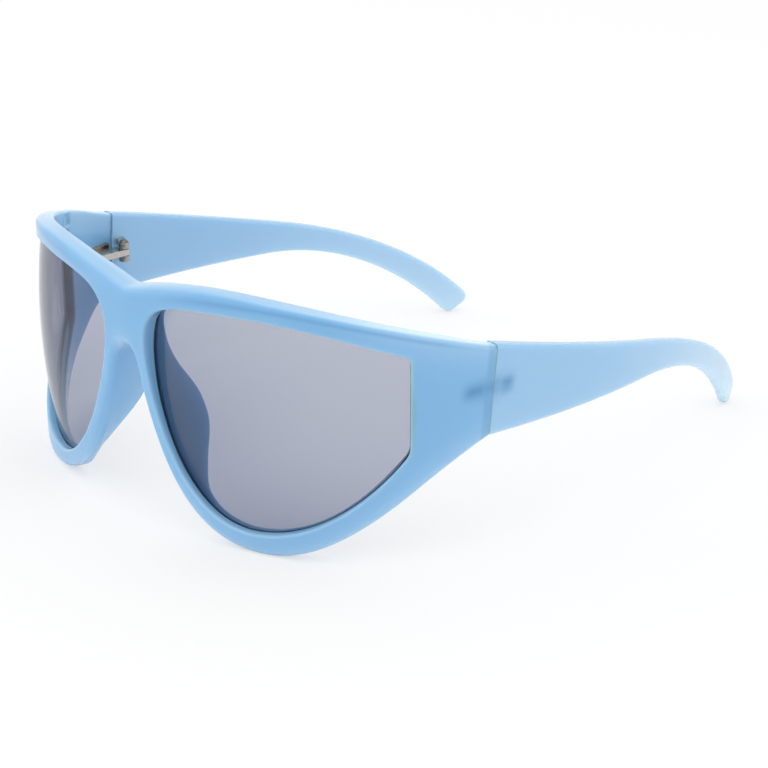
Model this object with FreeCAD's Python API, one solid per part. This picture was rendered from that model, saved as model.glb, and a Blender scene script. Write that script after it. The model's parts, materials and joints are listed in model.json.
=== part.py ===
"""Wrap sunglasses: a curved front with two smoke lenses and two folding temples.

Millimetres and degrees. +X is the wearer's left, the lenses face -Y and +Z is up.
Outlines of the front are drawn flat: s runs along the front's curve from the middle, z is height.
Outlines of a temple are drawn from the side: u runs back from the seam, z is height.
"""
import FreeCAD
import Part
import math
import os

# Front, seen from above: a shallow arc across the face and a tighter one round to the seam, thinner there
FRONT_RADIUS = 107.0
FRONT_TURN = 22.0
WRAP_RADIUS = 51.0
WALL = 5.0
END_WALL = 3.6
TAPER_AT = 84.0

# Lens openings on the flattened front
BRIDGE_GAP = 14.4
OPENING_WIDTH = 67.5
OPENING_HEIGHT = 52.1
OPENING_LOW_AT = 30.3
OPENING_TOP_AT = 30.6
NOSE_EDGE_DROP = 12.2
SIDE_DROP = 7.5
SIDE_EDGE = 23.0
SIDE_SLANT = 51.0
TOP_SLANT = 17.0

# Rim round the openings
RIM_BOTTOM = 5.0
RIM_LOW_AT = 33.1
RIM_NOSE = 3.9
BROW = 4.6
BROW_PEAK_AT = 30.0
BRIDGE_DIP = 4.2
BRIDGE_HEIGHT = 14.6
THROAT_DROP = 7.0
THROAT_LEAN = 2.0
THROAT_SLANT = 17.0
BROW_SLANT = 16.7
RIM_SLANT = 14.0

# End pieces, from the opening's straight edge back to the seam
END_LENGTH = 21.6
END_HEIGHT = 21.9
END_LIFT = 0.8
SEAM_LEAN = 5.5
SEAM_PIVOT_DROP = 5.7
EDGE_ROUND = 1.2

# Nose wings behind the rims
WING_DEPTH = 14.4
WING_AT = 27.0
WING_LOW = 3.0
BRIDGE_DEPTH = 6.2
WING_SPAN = 26.0
WING_HEEL = 8.0

# Lenses and the groove that holds them
LENS_RADIUS = 53.0
LENS_THICKNESS = 1.2
LENS_NOSE_RECESS = 3.4
LENS_SIDE_RECESS = 0.4
LENS_BOW = 2.2
LENS_LEAN = 1.6
LENS_LAP = 1.0
LENS_CLEARANCE = 0.1

# Small oblong recess in the inner face, just above each opening's top corner
TAB_LENGTH = 4.5
TAB_HEIGHT = 3.0
TAB_DEPTH = 1.0
TAB_AHEAD = 0.6
TAB_ABOVE = 1.7

# Temples
TEMPLE_RADIUS = 230.0
TEMPLE_THICK = 4.2
TIP_THICK = 2.6
TEMPLE_RISE = 0.2
TOP_SLOPE = 14.5
TOP_STRAIGHT = 61.5
UNDER_SLOPE = 2.2
UNDER_STRAIGHT = 56.0
UNDER_BEND_RADIUS = 77.0
TIP_DROP = 4.1
TIP_WIDTH = 8.0
TIP_ROUND = 2.0
TEMPLE_ROUND = 1.1
SEAM_GAP = 0.12

# Hinges
HINGE_INSET = 4.2
HINGE_BACK = 0.5
HINGE_RISE = 1.0
KNUCKLE_DIAMETER = 2.9
KNUCKLE_HEIGHT = 1.7
KNUCKLE_GAP = 0.08
SCREW_DIAMETER = 1.4
SCREW_CLEARANCE = 0.05
SCREW_HEAD_DIAMETER = 2.4
SCREW_HEAD_HEIGHT = 0.8
SCREW_SLOT = 0.4
SHOE_HEIGHT = 4.4
SHOE_SINK = 2.0
FRONT_LEAF_PROUD = 0.8
TEMPLE_LEAF_PROUD = 0.2
FRONT_SHOE_LENGTH = 7.5
FRONT_SHOE_SET = 1.5
TEMPLE_SHOE_LENGTH = 5.5
TEMPLE_SHOE_SET = 2.2
ARM_LENGTH = 8.5
NECK_CLEARANCE = 0.4

# Pulls: how far a curve's handles reach at its start and end, as shares of its span
OPENING_OUTER_PULL = (0.255, 0.395)
OPENING_INNER_PULL = (0.43, 0.17)
OPENING_NOSE_PULL = (0.32, 0.68)
OPENING_TOP_PULL = (0.37, 0.32)
BRIDGE_PULL = (0.10, 0.53)
BROW_PULL = (0.36, 0.36)
RIM_OUTER_PULL = (0.30, 0.36)
RIM_INNER_PULL = (0.40, 0.41)
ARCH_PULL = (0.45, 0.40)
WING_TOP_PULL = (0.75, 0.29)
WING_LOW_PULL = (0.27, 0.57)

# Fans: walls of the rim aim at an upright line behind the front, nose wings spread from one ahead
RIM_FOCUS = 85.0
WING_FOCUS = -150.0
REACH = 10.0
CURVE_POINTS = 9
NEAR = 0.01

# Stations on the flattened front, worked out from the sizes above
NOSE_S = BRIDGE_GAP / 2
SIDE_S = NOSE_S + OPENING_WIDTH
SEAM_S = SIDE_S + END_LENGTH
OPENING_LOW_S = NOSE_S + OPENING_LOW_AT
RIM_LOW_S = NOSE_S + RIM_LOW_AT
OPENING_TOP = RIM_BOTTOM + OPENING_HEIGHT
SIDE_TOP = OPENING_TOP - SIDE_DROP
SIDE_BOTTOM = SIDE_TOP - SIDE_EDGE
BROW_TOP = OPENING_TOP + BROW
BRIDGE_TOP = BROW_TOP - BRIDGE_DIP
ARCH_TOP = BRIDGE_TOP - BRIDGE_HEIGHT
SEAM_BOTTOM = SIDE_BOTTOM + END_LIFT
SEAM_TOP = SEAM_BOTTOM + END_HEIGHT
SEAM_PIVOT = SEAM_TOP - SEAM_PIVOT_DROP
SEAM_PAST = SEAM_S + REACH / 6
HINGE_Z = (SEAM_BOTTOM + SEAM_TOP) / 2 + HINGE_RISE
FRONT_ARC = FRONT_RADIUS * math.radians(FRONT_TURN)
WRAP_X = (FRONT_RADIUS - WRAP_RADIUS) * math.sin(math.radians(FRONT_TURN))
WRAP_Y = FRONT_RADIUS - (FRONT_RADIUS - WRAP_RADIUS) * math.cos(math.radians(FRONT_TURN))
HEAD_ROOM = BROW_TOP + REACH

# Hinge axis in the seam's axes (x outward, y back)
AXIS_X = -END_WALL - HINGE_INSET
AXIS_Y = HINGE_BACK
KNUCKLE_PITCH = KNUCKLE_HEIGHT + KNUCKLE_GAP


def vector(x, y, z=0.0):
    """Shorthand for a point."""
    return FreeCAD.Vector(x, y, z)


def heading(s):
    """Direction of the front's curve at length s, in radians from +X; straight on past the seam."""
    if s <= FRONT_ARC:
        return s / FRONT_RADIUS
    return math.radians(FRONT_TURN) + (min(s, SEAM_S) - FRONT_ARC) / WRAP_RADIUS


def front_point(s, depth=0.0):
    """Point (x, y) at length s along the front's outer curve, moved inward by depth."""
    angle = heading(s)
    if s <= FRONT_ARC:
        x, y, radius = 0.0, FRONT_RADIUS, FRONT_RADIUS - depth
    else:
        x, y, radius = WRAP_X, WRAP_Y, WRAP_RADIUS - depth
    past = max(s - SEAM_S, 0.0)
    x += radius * math.sin(angle) + past * math.cos(angle)
    y += -radius * math.cos(angle) + past * math.sin(angle)
    return x, y


def wall_depth(s):
    """Thickness of the front's wall at length s."""
    share = min(max((s - FRONT_ARC) / (TAPER_AT - FRONT_ARC), 0.0), 1.0)
    return WALL - (WALL - END_WALL) * share * share * (3 - 2 * share)


def seam_back(z):
    """How far back the leaning seam lies at a height."""
    return (z - SEAM_PIVOT) * math.tan(math.radians(SEAM_LEAN))


def depth_of(point):
    """How far a point lies inside the front's outer curve."""
    angle = math.atan2(point.x - WRAP_X, WRAP_Y - point.y)
    if angle < math.radians(FRONT_TURN):
        return FRONT_RADIUS - math.hypot(point.x, point.y - FRONT_RADIUS)
    return WRAP_RADIUS - math.hypot(point.x - WRAP_X, point.y - WRAP_Y)


def curve(start, leave, end, arrive, pull):
    """Points of a cubic curve between two points, from its headings there and its handles' pulls."""
    span = math.dist(start, end)
    first = (
        start[0] + pull[0] * span * math.cos(math.radians(leave)),
        start[1] + pull[0] * span * math.sin(math.radians(leave)),
    )
    second = (
        end[0] - pull[1] * span * math.cos(math.radians(arrive)),
        end[1] - pull[1] * span * math.sin(math.radians(arrive)),
    )
    points = []
    for step in range(CURVE_POINTS):
        t = step / (CURVE_POINTS - 1)
        weights = ((1 - t) ** 3, 3 * t * (1 - t) ** 2, 3 * t * t * (1 - t), t ** 3)
        corners = (start, first, second, end)
        points.append(tuple(sum(w * c[axis] for w, c in zip(weights, corners)) for axis in (0, 1)))
    return points


def opening_curves(grow=0.0):
    """Closed outline of a lens opening on the flattened front, grown by a margin."""
    corner_low = (SIDE_S + grow, SIDE_BOTTOM - grow / 2)
    corner_top = (SIDE_S + grow, SIDE_TOP + grow)
    low = (OPENING_LOW_S, RIM_BOTTOM - grow)
    nose = (NOSE_S - grow, OPENING_TOP - NOSE_EDGE_DROP)
    top = (NOSE_S + OPENING_TOP_AT, OPENING_TOP + grow)
    return [
        curve(corner_low, 180.0 + SIDE_SLANT, low, 180.0, OPENING_OUTER_PULL),
        curve(low, 180.0, nose, 90.0, OPENING_INNER_PULL),
        curve(nose, 90.0, top, 0.0, OPENING_NOSE_PULL),
        curve(top, 0.0, corner_top, -TOP_SLANT, OPENING_TOP_PULL),
        [corner_top, corner_low],
    ]


def outline_curves():
    """Outline of one half of the front, from the middle out past the seam and back under the rim."""
    past = REACH / 3
    past_top = (SEAM_S + past, SEAM_TOP - past * math.tan(math.radians(BROW_SLANT)))
    past_low = (SEAM_S + past, SEAM_BOTTOM + past * math.tan(math.radians(RIM_SLANT)))
    middle = (0.0, BRIDGE_TOP)
    peak = (BROW_PEAK_AT, BROW_TOP)
    seam_top = (SEAM_S, SEAM_TOP)
    seam_low = (SEAM_S, SEAM_BOTTOM)
    low = (RIM_LOW_S, 0.0)
    throat = (NOSE_S + THROAT_LEAN - RIM_NOSE, ARCH_TOP - THROAT_DROP)
    arch = (0.0, ARCH_TOP)
    return [
        curve(middle, 0.0, peak, 0.0, BRIDGE_PULL),
        curve(peak, 0.0, seam_top, -BROW_SLANT, BROW_PULL),
        [seam_top, past_top, past_low, seam_low],
        curve(seam_low, 180.0 + RIM_SLANT, low, 180.0, RIM_OUTER_PULL),
        curve(low, 180.0, throat, 90.0 + THROAT_SLANT, RIM_INNER_PULL),
        curve(throat, 90.0 + THROAT_SLANT, arch, 180.0, ARCH_PULL),
        [arch, middle],
    ]


def spline_edge(points):
    """Edge of a smooth curve through points."""
    spline = Part.BSplineCurve()
    spline.interpolate(points)
    return spline.toShape()


def fan_wire(curves, focus, plane_y):
    """The flat outline carried onto the front and on along the fan's rays to one upright plane."""
    edges = []
    for points in curves:
        placed = []
        for s, z in points:
            x, y = front_point(s)
            placed.append(vector(x * (focus - plane_y) / (focus - y), plane_y, z))
        if len(placed) == CURVE_POINTS:
            edges.append(spline_edge(placed))
        else:
            edges.extend(Part.makeLine(a, b) for a, b in zip(placed, placed[1:]))
    return Part.Wire(edges)


def fan_solid(curves, focus, near_y, far_y):
    """Solid whose walls run along the fan's rays through the outline."""
    return Part.makeLoft([fan_wire(curves, focus, near_y), fan_wire(curves, focus, far_y)], True, True)


def rim_fan(curves):
    """Fan solid right through the front's wall."""
    far = front_point(SEAM_S, WALL)[1] + REACH / 3
    return fan_solid(curves, RIM_FOCUS, -REACH, far)


def prism(edges, direction):
    """Face bounded by edges, drawn out along a vector."""
    return Part.Face(Part.Wire(edges)).extrude(direction)


def arc(first, middle, last):
    """Edge of the arc through three points."""
    return Part.Arc(vector(*first), vector(*middle), vector(*last)).toShape()


def upright(edges):
    """Wall over a closed plan, taller than the front."""
    wall = prism(Part.__sortEdges__(edges), vector(0, 0, HEAD_ROOM + REACH))
    wall.translate(vector(0, 0, -REACH))
    return wall


def line(first, last):
    """Edge of the straight line between two points."""
    return Part.makeLine(vector(*first), vector(*last))


def front_wall():
    """Upright wall along half of the front, from the middle to just past the seam."""
    wrap = [FRONT_ARC + (SEAM_S - FRONT_ARC) * step / (CURVE_POINTS - 1) for step in range(CURVE_POINTS)]
    edges = [
        arc(*(front_point(s) for s in (0.0, FRONT_ARC / 2, FRONT_ARC))),
        arc(*(front_point(s) for s in (FRONT_ARC, (FRONT_ARC + SEAM_S) / 2, SEAM_S))),
        line(front_point(SEAM_S), front_point(SEAM_PAST)),
        line(front_point(SEAM_PAST), front_point(SEAM_PAST, END_WALL)),
        line(front_point(SEAM_PAST, END_WALL), front_point(SEAM_S, END_WALL)),
        spline_edge([vector(*front_point(s, wall_depth(s))) for s in wrap]),
        arc(*(front_point(s, WALL) for s in (0.0, FRONT_ARC / 2, FRONT_ARC))),
        line(front_point(0.0, WALL), front_point(0.0)),
    ]
    return upright(edges)


def face_band(near, far):
    """Upright wall across half of the face, between two depths."""
    edges = []
    for depth in (near, far):
        edges.append(arc(*(front_point(s, depth) for s in (0.0, FRONT_ARC / 2, FRONT_ARC))))
    for s in (0.0, FRONT_ARC):
        edges.append(line(front_point(s, near), front_point(s, far)))
    return upright(edges)


def past_seam():
    """Block behind the leaning seam, in the seam's axes."""
    side = -WALL - REACH
    corners = [(seam_back(z), z) for z in (-REACH, HEAD_ROOM)]
    corners += [(2 * REACH, HEAD_ROOM), (2 * REACH, -REACH)]
    points = [(side, *corner) for corner in corners]
    edges = [line(a, b) for a, b in zip(points, points[1:] + points[:1])]
    return prism(edges, vector(WALL + 2 * REACH, 0, 0))


def wing_profile():
    """Side view of the bridge and the nose wings, drawn out across half of the front's middle."""
    top = (BRIDGE_DEPTH, HEAD_ROOM)
    brow = (BRIDGE_DEPTH, BROW_TOP)
    deep = (WING_DEPTH, WING_AT)
    low = (WALL, WING_LOW)
    upper = curve(brow, -90.0, deep, -90.0, WING_TOP_PULL)
    lower = curve(deep, -90.0, low, -90.0 - WING_HEEL, WING_LOW_PULL)
    edges = [spline_edge([vector(0, y, z) for y, z in points]) for points in (upper, lower)]
    corners = [low, (-REACH, WING_LOW), (-REACH, HEAD_ROOM), top, brow]
    for a, b in zip(corners, corners[1:]):
        edges.append(Part.makeLine(vector(0, *a), vector(0, *b)))
    return prism(edges, vector(WING_SPAN, 0, 0))


def nose_wing():
    """Strip of rim beside the nose, carried back and spread a little outward."""
    thick = face_band(WALL / 2, WING_DEPTH)
    far = WING_DEPTH + REACH
    strip = thick.common(fan_solid(outline_curves(), WING_FOCUS, -REACH, far))
    strip = strip.cut(fan_solid(opening_curves(), WING_FOCUS, -REACH, far))
    return strip.common(wing_profile())


def lens_centre():
    """Centre (x, y) of the lens arc, from the recess at its nose edge and at its side edge."""
    ax, ay = front_point(NOSE_S, LENS_NOSE_RECESS)
    bx, by = front_point(SIDE_S, LENS_SIDE_RECESS)
    half = math.dist((ax, ay), (bx, by)) / 2
    rise = math.sqrt(LENS_RADIUS ** 2 - half ** 2)
    return (ax + bx) / 2 - rise * (by - ay) / (2 * half), (ay + by) / 2 + rise * (bx - ax) / (2 * half)


def lens_shell(margin, grow):
    """Bowed, leaning sheet of the lens, thickened by a margin, its outline grown past the opening."""
    x, y = lens_centre()
    middle = RIM_BOTTOM + OPENING_HEIGHT / 2
    half = OPENING_HEIGHT / 2 + REACH
    share = half / (OPENING_HEIGHT / 2)
    low = -LENS_BOW * share ** 2 - LENS_LEAN / 2 * share
    top = -LENS_BOW * share ** 2 + LENS_LEAN / 2 * share
    faces = []
    for radius in (LENS_RADIUS + margin, LENS_RADIUS - LENS_THICKNESS - margin):
        ends = [vector(x + radius + low, y, middle - half), vector(x + radius + top, y, middle + half)]
        faces.append((ends, vector(x + radius, y, middle)))
    (outer, outer_mid), (inner, inner_mid) = faces
    edges = [
        Part.Arc(outer[0], outer_mid, outer[1]).toShape(),
        Part.makeLine(outer[1], inner[1]),
        Part.Arc(inner[1], inner_mid, inner[0]).toShape(),
        Part.makeLine(inner[0], outer[0]),
    ]
    sheet = Part.Face(Part.Wire(edges)).revolve(vector(x, y, 0), vector(0, 0, 1), 360)
    return sheet.common(rim_fan(opening_curves(grow)))


def at_seam(shape):
    """Moves a shape from the seam's own axes (x outward, y back) to its place on the left."""
    shape.rotate(vector(0, 0, 0), vector(0, 0, 1), math.degrees(heading(SEAM_S)) - 90.0)
    shape.translate(vector(*front_point(SEAM_S)))
    return shape


def box(x_range, y_range, z_range):
    """Box from its three ranges."""
    low = vector(x_range[0], y_range[0], z_range[0])
    return Part.makeBox(x_range[1] - x_range[0], y_range[1] - y_range[0], z_range[1] - z_range[0], low)


def front_shoe():
    """Block of the front leaf that is sunk in the end piece, in the seam's axes."""
    span = (-FRONT_SHOE_SET - FRONT_SHOE_LENGTH, -FRONT_SHOE_SET)
    tall = (HINGE_Z - SHOE_HEIGHT / 2, HINGE_Z + SHOE_HEIGHT / 2)
    return box((-END_WALL - FRONT_LEAF_PROUD, -END_WALL + SHOE_SINK), span, tall)


def temple_shoe():
    """Block of the temple leaf that is sunk in the temple, in the seam's axes."""
    span = (TEMPLE_SHOE_SET, TEMPLE_SHOE_SET + TEMPLE_SHOE_LENGTH)
    tall = (HINGE_Z - SHOE_HEIGHT / 2, HINGE_Z + SHOE_HEIGHT / 2)
    return box((-TEMPLE_THICK - TEMPLE_LEAF_PROUD, -TEMPLE_THICK + SHOE_SINK), span, tall)


def knuckle(level):
    """Plain knuckle at a level: 0 is the middle one, 1 above it, -1 below it."""
    base = vector(AXIS_X, AXIS_Y, HINGE_Z + level * KNUCKLE_PITCH - KNUCKLE_HEIGHT / 2)
    return Part.makeCylinder(KNUCKLE_DIAMETER / 2, KNUCKLE_HEIGHT, base)


def screw_hole(radius):
    """Cylinder on the hinge axis, longer than the barrel."""
    base = vector(AXIS_X, AXIS_Y, HINGE_Z - 2 * KNUCKLE_PITCH)
    return Part.makeCylinder(radius, 4 * KNUCKLE_PITCH, base)


def hinge_front_leaf():
    """Middle knuckle on an arm on the front's shoe that narrows to a neck beside the temple."""
    tall = (HINGE_Z - KNUCKLE_HEIGHT / 2, HINGE_Z + KNUCKLE_HEIGHT / 2)
    inside = AXIS_X - KNUCKLE_DIAMETER / 2
    arm = box((inside, -END_WALL - FRONT_LEAF_PROUD / 2), (AXIS_Y - ARM_LENGTH, -FRONT_SHOE_SET), tall)
    neck = box((inside, -TEMPLE_THICK - NECK_CLEARANCE), (-FRONT_SHOE_SET, AXIS_Y), tall)
    leaf = front_shoe().fuse([arm, neck, knuckle(0)])
    leaf = leaf.cut(screw_hole(SCREW_DIAMETER / 2 + SCREW_CLEARANCE))
    return leaf.removeSplitter()


def hinge_temple_leaf():
    """Upper and lower knuckles, each on a web that joins the shoe in the temple."""
    leaf = temple_shoe()
    for level in (1, -1):
        middle = HINGE_Z + level * KNUCKLE_PITCH
        tall = (middle - KNUCKLE_HEIGHT / 2, middle + KNUCKLE_HEIGHT / 2)
        reach = (AXIS_Y, TEMPLE_SHOE_SET + KNUCKLE_DIAMETER / 2)
        web = box((AXIS_X, -TEMPLE_THICK - TEMPLE_LEAF_PROUD / 2), reach, tall)
        leaf = leaf.fuse([web, knuckle(level)])
    return leaf.cut(screw_hole(SCREW_DIAMETER / 2)).removeSplitter()


def hinge_screw():
    """Screw through the barrel with a slotted dome head on top."""
    top = HINGE_Z + 1.5 * KNUCKLE_HEIGHT + KNUCKLE_GAP
    bottom = HINGE_Z - 1.5 * KNUCKLE_HEIGHT - KNUCKLE_GAP
    shank = Part.makeCylinder(SCREW_DIAMETER / 2, top - bottom, vector(AXIS_X, AXIS_Y, bottom))
    half = SCREW_HEAD_DIAMETER / 2
    ball = (half ** 2 + SCREW_HEAD_HEIGHT ** 2) / (2 * SCREW_HEAD_HEIGHT)
    dome = Part.makeSphere(ball, vector(AXIS_X, AXIS_Y, top + SCREW_HEAD_HEIGHT - ball))
    dome = dome.common(Part.makeCylinder(half, SCREW_HEAD_HEIGHT, vector(AXIS_X, AXIS_Y, top)))
    slot = box(
        (AXIS_X - SCREW_SLOT / 2, AXIS_X + SCREW_SLOT / 2),
        (AXIS_Y - half, AXIS_Y + half),
        (top + SCREW_HEAD_HEIGHT / 2, top + SCREW_HEAD_HEIGHT),
    )
    return shank.fuse(dome).cut(slot).removeSplitter()


def temple_plan():
    """Temple seen from above, in the seam's axes: two arcs that close in towards the tip."""
    start = math.asin(seam_back(-REACH) / TEMPLE_RADIUS)
    turn = math.asin((tip_corners()[1][0] + REACH) / TEMPLE_RADIUS)
    outer = []
    inner = []
    for share in (0.0, 0.5, 1.0):
        angle = start + (turn - start) * share
        x = -TEMPLE_RADIUS * (1 - math.cos(angle))
        y = TEMPLE_RADIUS * math.sin(angle)
        thick = TEMPLE_THICK + (TIP_THICK - TEMPLE_THICK) * angle / turn
        outer.append((x, y))
        inner.append((x - thick * math.cos(angle), y - thick * math.sin(angle)))
    edges = [
        arc(*outer),
        line(outer[2], inner[2]),
        arc(inner[2], inner[1], inner[0]),
        line(inner[0], outer[0]),
    ]
    plan = prism(edges, vector(0, 0, HEAD_ROOM + TIP_DROP + REACH))
    plan.translate(vector(0, 0, -TIP_DROP - REACH))
    return plan


def under_arc(angle):
    """Point of the underside's bend where it has turned down to an angle."""
    under = math.radians(UNDER_SLOPE)
    along = UNDER_STRAIGHT + UNDER_BEND_RADIUS * (math.sin(angle) - math.sin(under))
    start = SEAM_BOTTOM - UNDER_STRAIGHT * math.tan(under)
    return along, start - UNDER_BEND_RADIUS * (math.cos(under) - math.cos(angle))


def hook_angle():
    """Angle at which the underside's bend comes down to the tip."""
    under = math.radians(UNDER_SLOPE)
    fall = SEAM_BOTTOM - UNDER_STRAIGHT * math.tan(under) + TIP_DROP
    return math.acos(math.cos(under) - fall / UNDER_BEND_RADIUS)


def tip_corners():
    """Lower and upper corner of the tip, seen from the side."""
    hook = hook_angle()
    low = under_arc(hook)
    return low, (low[0] + TIP_WIDTH * math.sin(hook), low[1] + TIP_WIDTH * math.cos(hook))


def temple_side():
    """Side view of a temple, drawn out across it: leaning seam, straight top, drooping hook."""
    slope = math.radians(TOP_SLOPE)
    under = math.radians(UNDER_SLOPE)
    hook = hook_angle()
    top_back, under_back = seam_back(SEAM_TOP), seam_back(SEAM_BOTTOM)
    top_seam, top_bend = (
        vector(0, back, SEAM_TOP + TEMPLE_RISE - back * math.tan(slope)) for back in (top_back, TOP_STRAIGHT)
    )
    under_seam = vector(0, under_back, SEAM_BOTTOM - under_back * math.tan(under))
    under_bend, under_middle = (vector(0, *under_arc(angle)) for angle in (under, (under + hook) / 2))
    tip_low, tip_top = (vector(0, *corner) for corner in tip_corners())
    back = Part.BSplineCurve()
    back.interpolate(
        [top_bend, tip_top],
        InitialTangent=vector(0, math.cos(slope), -math.sin(slope)),
        FinalTangent=vector(0, math.cos(hook), -math.sin(hook)),
    )
    edges = [
        Part.makeLine(top_seam, top_bend),
        back.toShape(),
        Part.makeLine(tip_top, tip_low),
        Part.Arc(tip_low, under_middle, under_bend).toShape(),
        Part.makeLine(under_bend, under_seam),
        Part.makeLine(under_seam, top_seam),
    ]
    side = prism(edges, vector(TEMPLE_RADIUS, 0, 0))
    side.translate(vector(REACH - TEMPLE_RADIUS, 0, 0))
    return side


def on_seam(edge):
    """Whether an edge of a temple lies on the seam."""
    return max(vertex.Y for vertex in edge.Vertexes) < UNDER_STRAIGHT / 2


def runs_across(edge):
    """Whether an edge shows as a single point in the temple's side view."""
    first, last = edge.Vertexes[0], edge.Vertexes[-1]
    return math.dist((first.Y, first.Z), (last.Y, last.Z)) < NEAR


def temple():
    """Temple in the seam's axes, with its edges rounded and the pocket for its hinge shoe."""
    body = temple_plan().common(temple_side())
    tip = []
    for edge in body.Edges:
        seen = (edge.Vertexes[0].Y, edge.Vertexes[0].Z)
        if runs_across(edge) and min(math.dist(seen, corner) for corner in tip_corners()) < NEAR:
            tip.append(edge)
    body = body.makeFillet(TIP_ROUND, tip)
    rims = []
    for edge in body.Edges:
        if not on_seam(edge) and not runs_across(edge):
            rims.append(edge)
    body = body.makeFillet(min(TEMPLE_ROUND, TIP_THICK / 3), rims)
    body.translate(vector(0, SEAM_GAP, 0))
    return body.cut(temple_shoe()).removeSplitter()


def tab_recess():
    """Cutter for the small recess above an opening's top corner."""
    s = SIDE_S - TAB_AHEAD
    x, y = front_point(s, wall_depth(s))
    low = SIDE_TOP + TAB_ABOVE
    cutter = box((-TAB_DEPTH, TAB_DEPTH), (-TAB_LENGTH / 2, TAB_LENGTH / 2), (low, low + TAB_HEIGHT))
    cutter.rotate(vector(0, 0, 0), vector(0, 0, 1), math.degrees(heading(s)) - 90.0)
    cutter.translate(vector(x, y, 0))
    return cutter


def is_front_rim(edge):
    """Whether an edge of the front's blank runs along its outline on the outer face."""
    first, last = edge.Vertexes[0], edge.Vertexes[-1]
    upright = math.dist((first.X, first.Y), (last.X, last.Y)) < NEAR
    middle = edge.valueAt((edge.FirstParameter + edge.LastParameter) / 2)
    return not upright and max(depth_of(p) for p in (first.Point, middle, last.Point)) < NEAR


def front_half():
    """Left half of the front with its opening, wing, groove and pockets."""
    half = front_wall().common(rim_fan(outline_curves()))
    half = half.makeFillet(EDGE_ROUND, [edge for edge in half.Edges if is_front_rim(edge)])
    half = half.cut(rim_fan(opening_curves()))
    half = half.fuse(nose_wing())
    half = half.cut(lens_shell(LENS_CLEARANCE, LENS_LAP))
    half = half.cut(tab_recess())
    half = half.cut(at_seam(past_seam()))
    return half.cut(at_seam(front_shoe()))


def mirrored(shape):
    """The same piece on the wearer's right."""
    return shape.mirror(vector(0, 0, 0), vector(1, 0, 0))


def build():
    """All pieces by name, with the origin still at the middle of the front."""
    half = front_half()
    left = {
        "lens": lens_shell(0.0, LENS_LAP - LENS_CLEARANCE),
        "temple": at_seam(temple()),
        "hinge_front_leaf": at_seam(hinge_front_leaf()),
        "hinge_temple_leaf": at_seam(hinge_temple_leaf()),
        "hinge_screw": at_seam(hinge_screw()),
    }
    pieces = {"front_frame": half.fuse(mirrored(half)).removeSplitter()}
    for name, shape in left.items():
        pieces[name + "_left"] = shape
        pieces[name + "_right"] = mirrored(shape)
    return pieces


def ground_lean(temple_piece):
    """Angle about X that sets the pair down on its rims and its temple tips together."""
    tip = at_seam(Part.Vertex(vector(0, *tip_corners()[0]))).Point
    drop = -temple_piece.optimalBoundingBox(False, False).ZMin
    return math.degrees(math.atan2(drop, tip.y - front_point(RIM_LOW_S)[1]))


def main():
    """Sets the pieces on the ground about the origin and writes each one to its own file."""
    os.makedirs("parts", exist_ok=True)
    pieces = build()
    lean = ground_lean(pieces["temple_left"])
    axis = at_seam(Part.Vertex(vector(AXIS_X, AXIS_Y, HINGE_Z)))
    for shape in [axis, *pieces.values()]:
        shape.rotate(vector(0, 0, 0), vector(1, 0, 0), lean)
    whole = Part.makeCompound(list(pieces.values())).optimalBoundingBox(False, False)
    shift = vector(0, -whole.Center.y, -whole.ZMin)
    for name, shape in pieces.items():
        shape.translate(shift)
        shape.exportStep("parts/" + name + ".step")
        print(name, shape.ShapeType, len(shape.Solids), shape.isValid(), round(shape.Volume, 2))
    print("left hinge axis through", tuple(axis.Point + shift), "leaning", lean, "degrees about X")
    print("box", whole.XLength, whole.YLength, whole.ZLength, "moved by", tuple(shift))


main()
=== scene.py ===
"""Wrap sunglasses in milky blue plastic with smoke lenses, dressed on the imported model.

Sizes are in millimetres in the pair's own axes: X to the wearer's left, the lenses face -Y, Z up, with the
origin on the front's middle at the level of its rims. Placement carries points from there to the frame.
The front is drawn flat: s runs along its outer curve from the middle, z is height, depth runs inward.
A temple is drawn from the side: u runs back from the seam, z is height.
"""
import json
import logging
import math
from dataclasses import dataclass, field
from enum import Enum

import bmesh
import bpy
import numpy as np
from mathutils import Matrix, Vector


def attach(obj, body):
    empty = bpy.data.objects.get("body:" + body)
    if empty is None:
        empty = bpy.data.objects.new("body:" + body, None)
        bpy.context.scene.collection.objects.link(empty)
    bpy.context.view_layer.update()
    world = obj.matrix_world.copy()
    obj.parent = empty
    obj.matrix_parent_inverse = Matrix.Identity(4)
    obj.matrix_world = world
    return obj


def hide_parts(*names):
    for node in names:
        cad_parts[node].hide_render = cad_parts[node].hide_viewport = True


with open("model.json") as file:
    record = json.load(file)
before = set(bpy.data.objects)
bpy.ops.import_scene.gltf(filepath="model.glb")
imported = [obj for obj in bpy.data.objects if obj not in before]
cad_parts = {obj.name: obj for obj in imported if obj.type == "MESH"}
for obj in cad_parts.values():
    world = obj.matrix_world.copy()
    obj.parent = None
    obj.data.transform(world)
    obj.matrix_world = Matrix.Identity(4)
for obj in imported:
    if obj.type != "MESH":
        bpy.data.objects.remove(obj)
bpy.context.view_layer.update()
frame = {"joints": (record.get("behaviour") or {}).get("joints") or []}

LOG = logging.getLogger("sunglasses")
Array = np.ndarray
Colour = tuple[float, float, float]
Pair = tuple[float, float]
Socket = bpy.types.NodeSocket
Value = Socket | float
Tint = Socket | Colour
MM = 0.001
FINE = 301
ARC = 5
MERGE = 2e-7
SLIVER = 1e-7


class Side(Enum):
    """The two sides of the pair, with the sign of X on each."""

    LEFT = 1
    RIGHT = -1

    @property
    def suffix(self) -> str:
        """Ending of the names of this side's pieces."""
        return self.name.lower()


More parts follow.
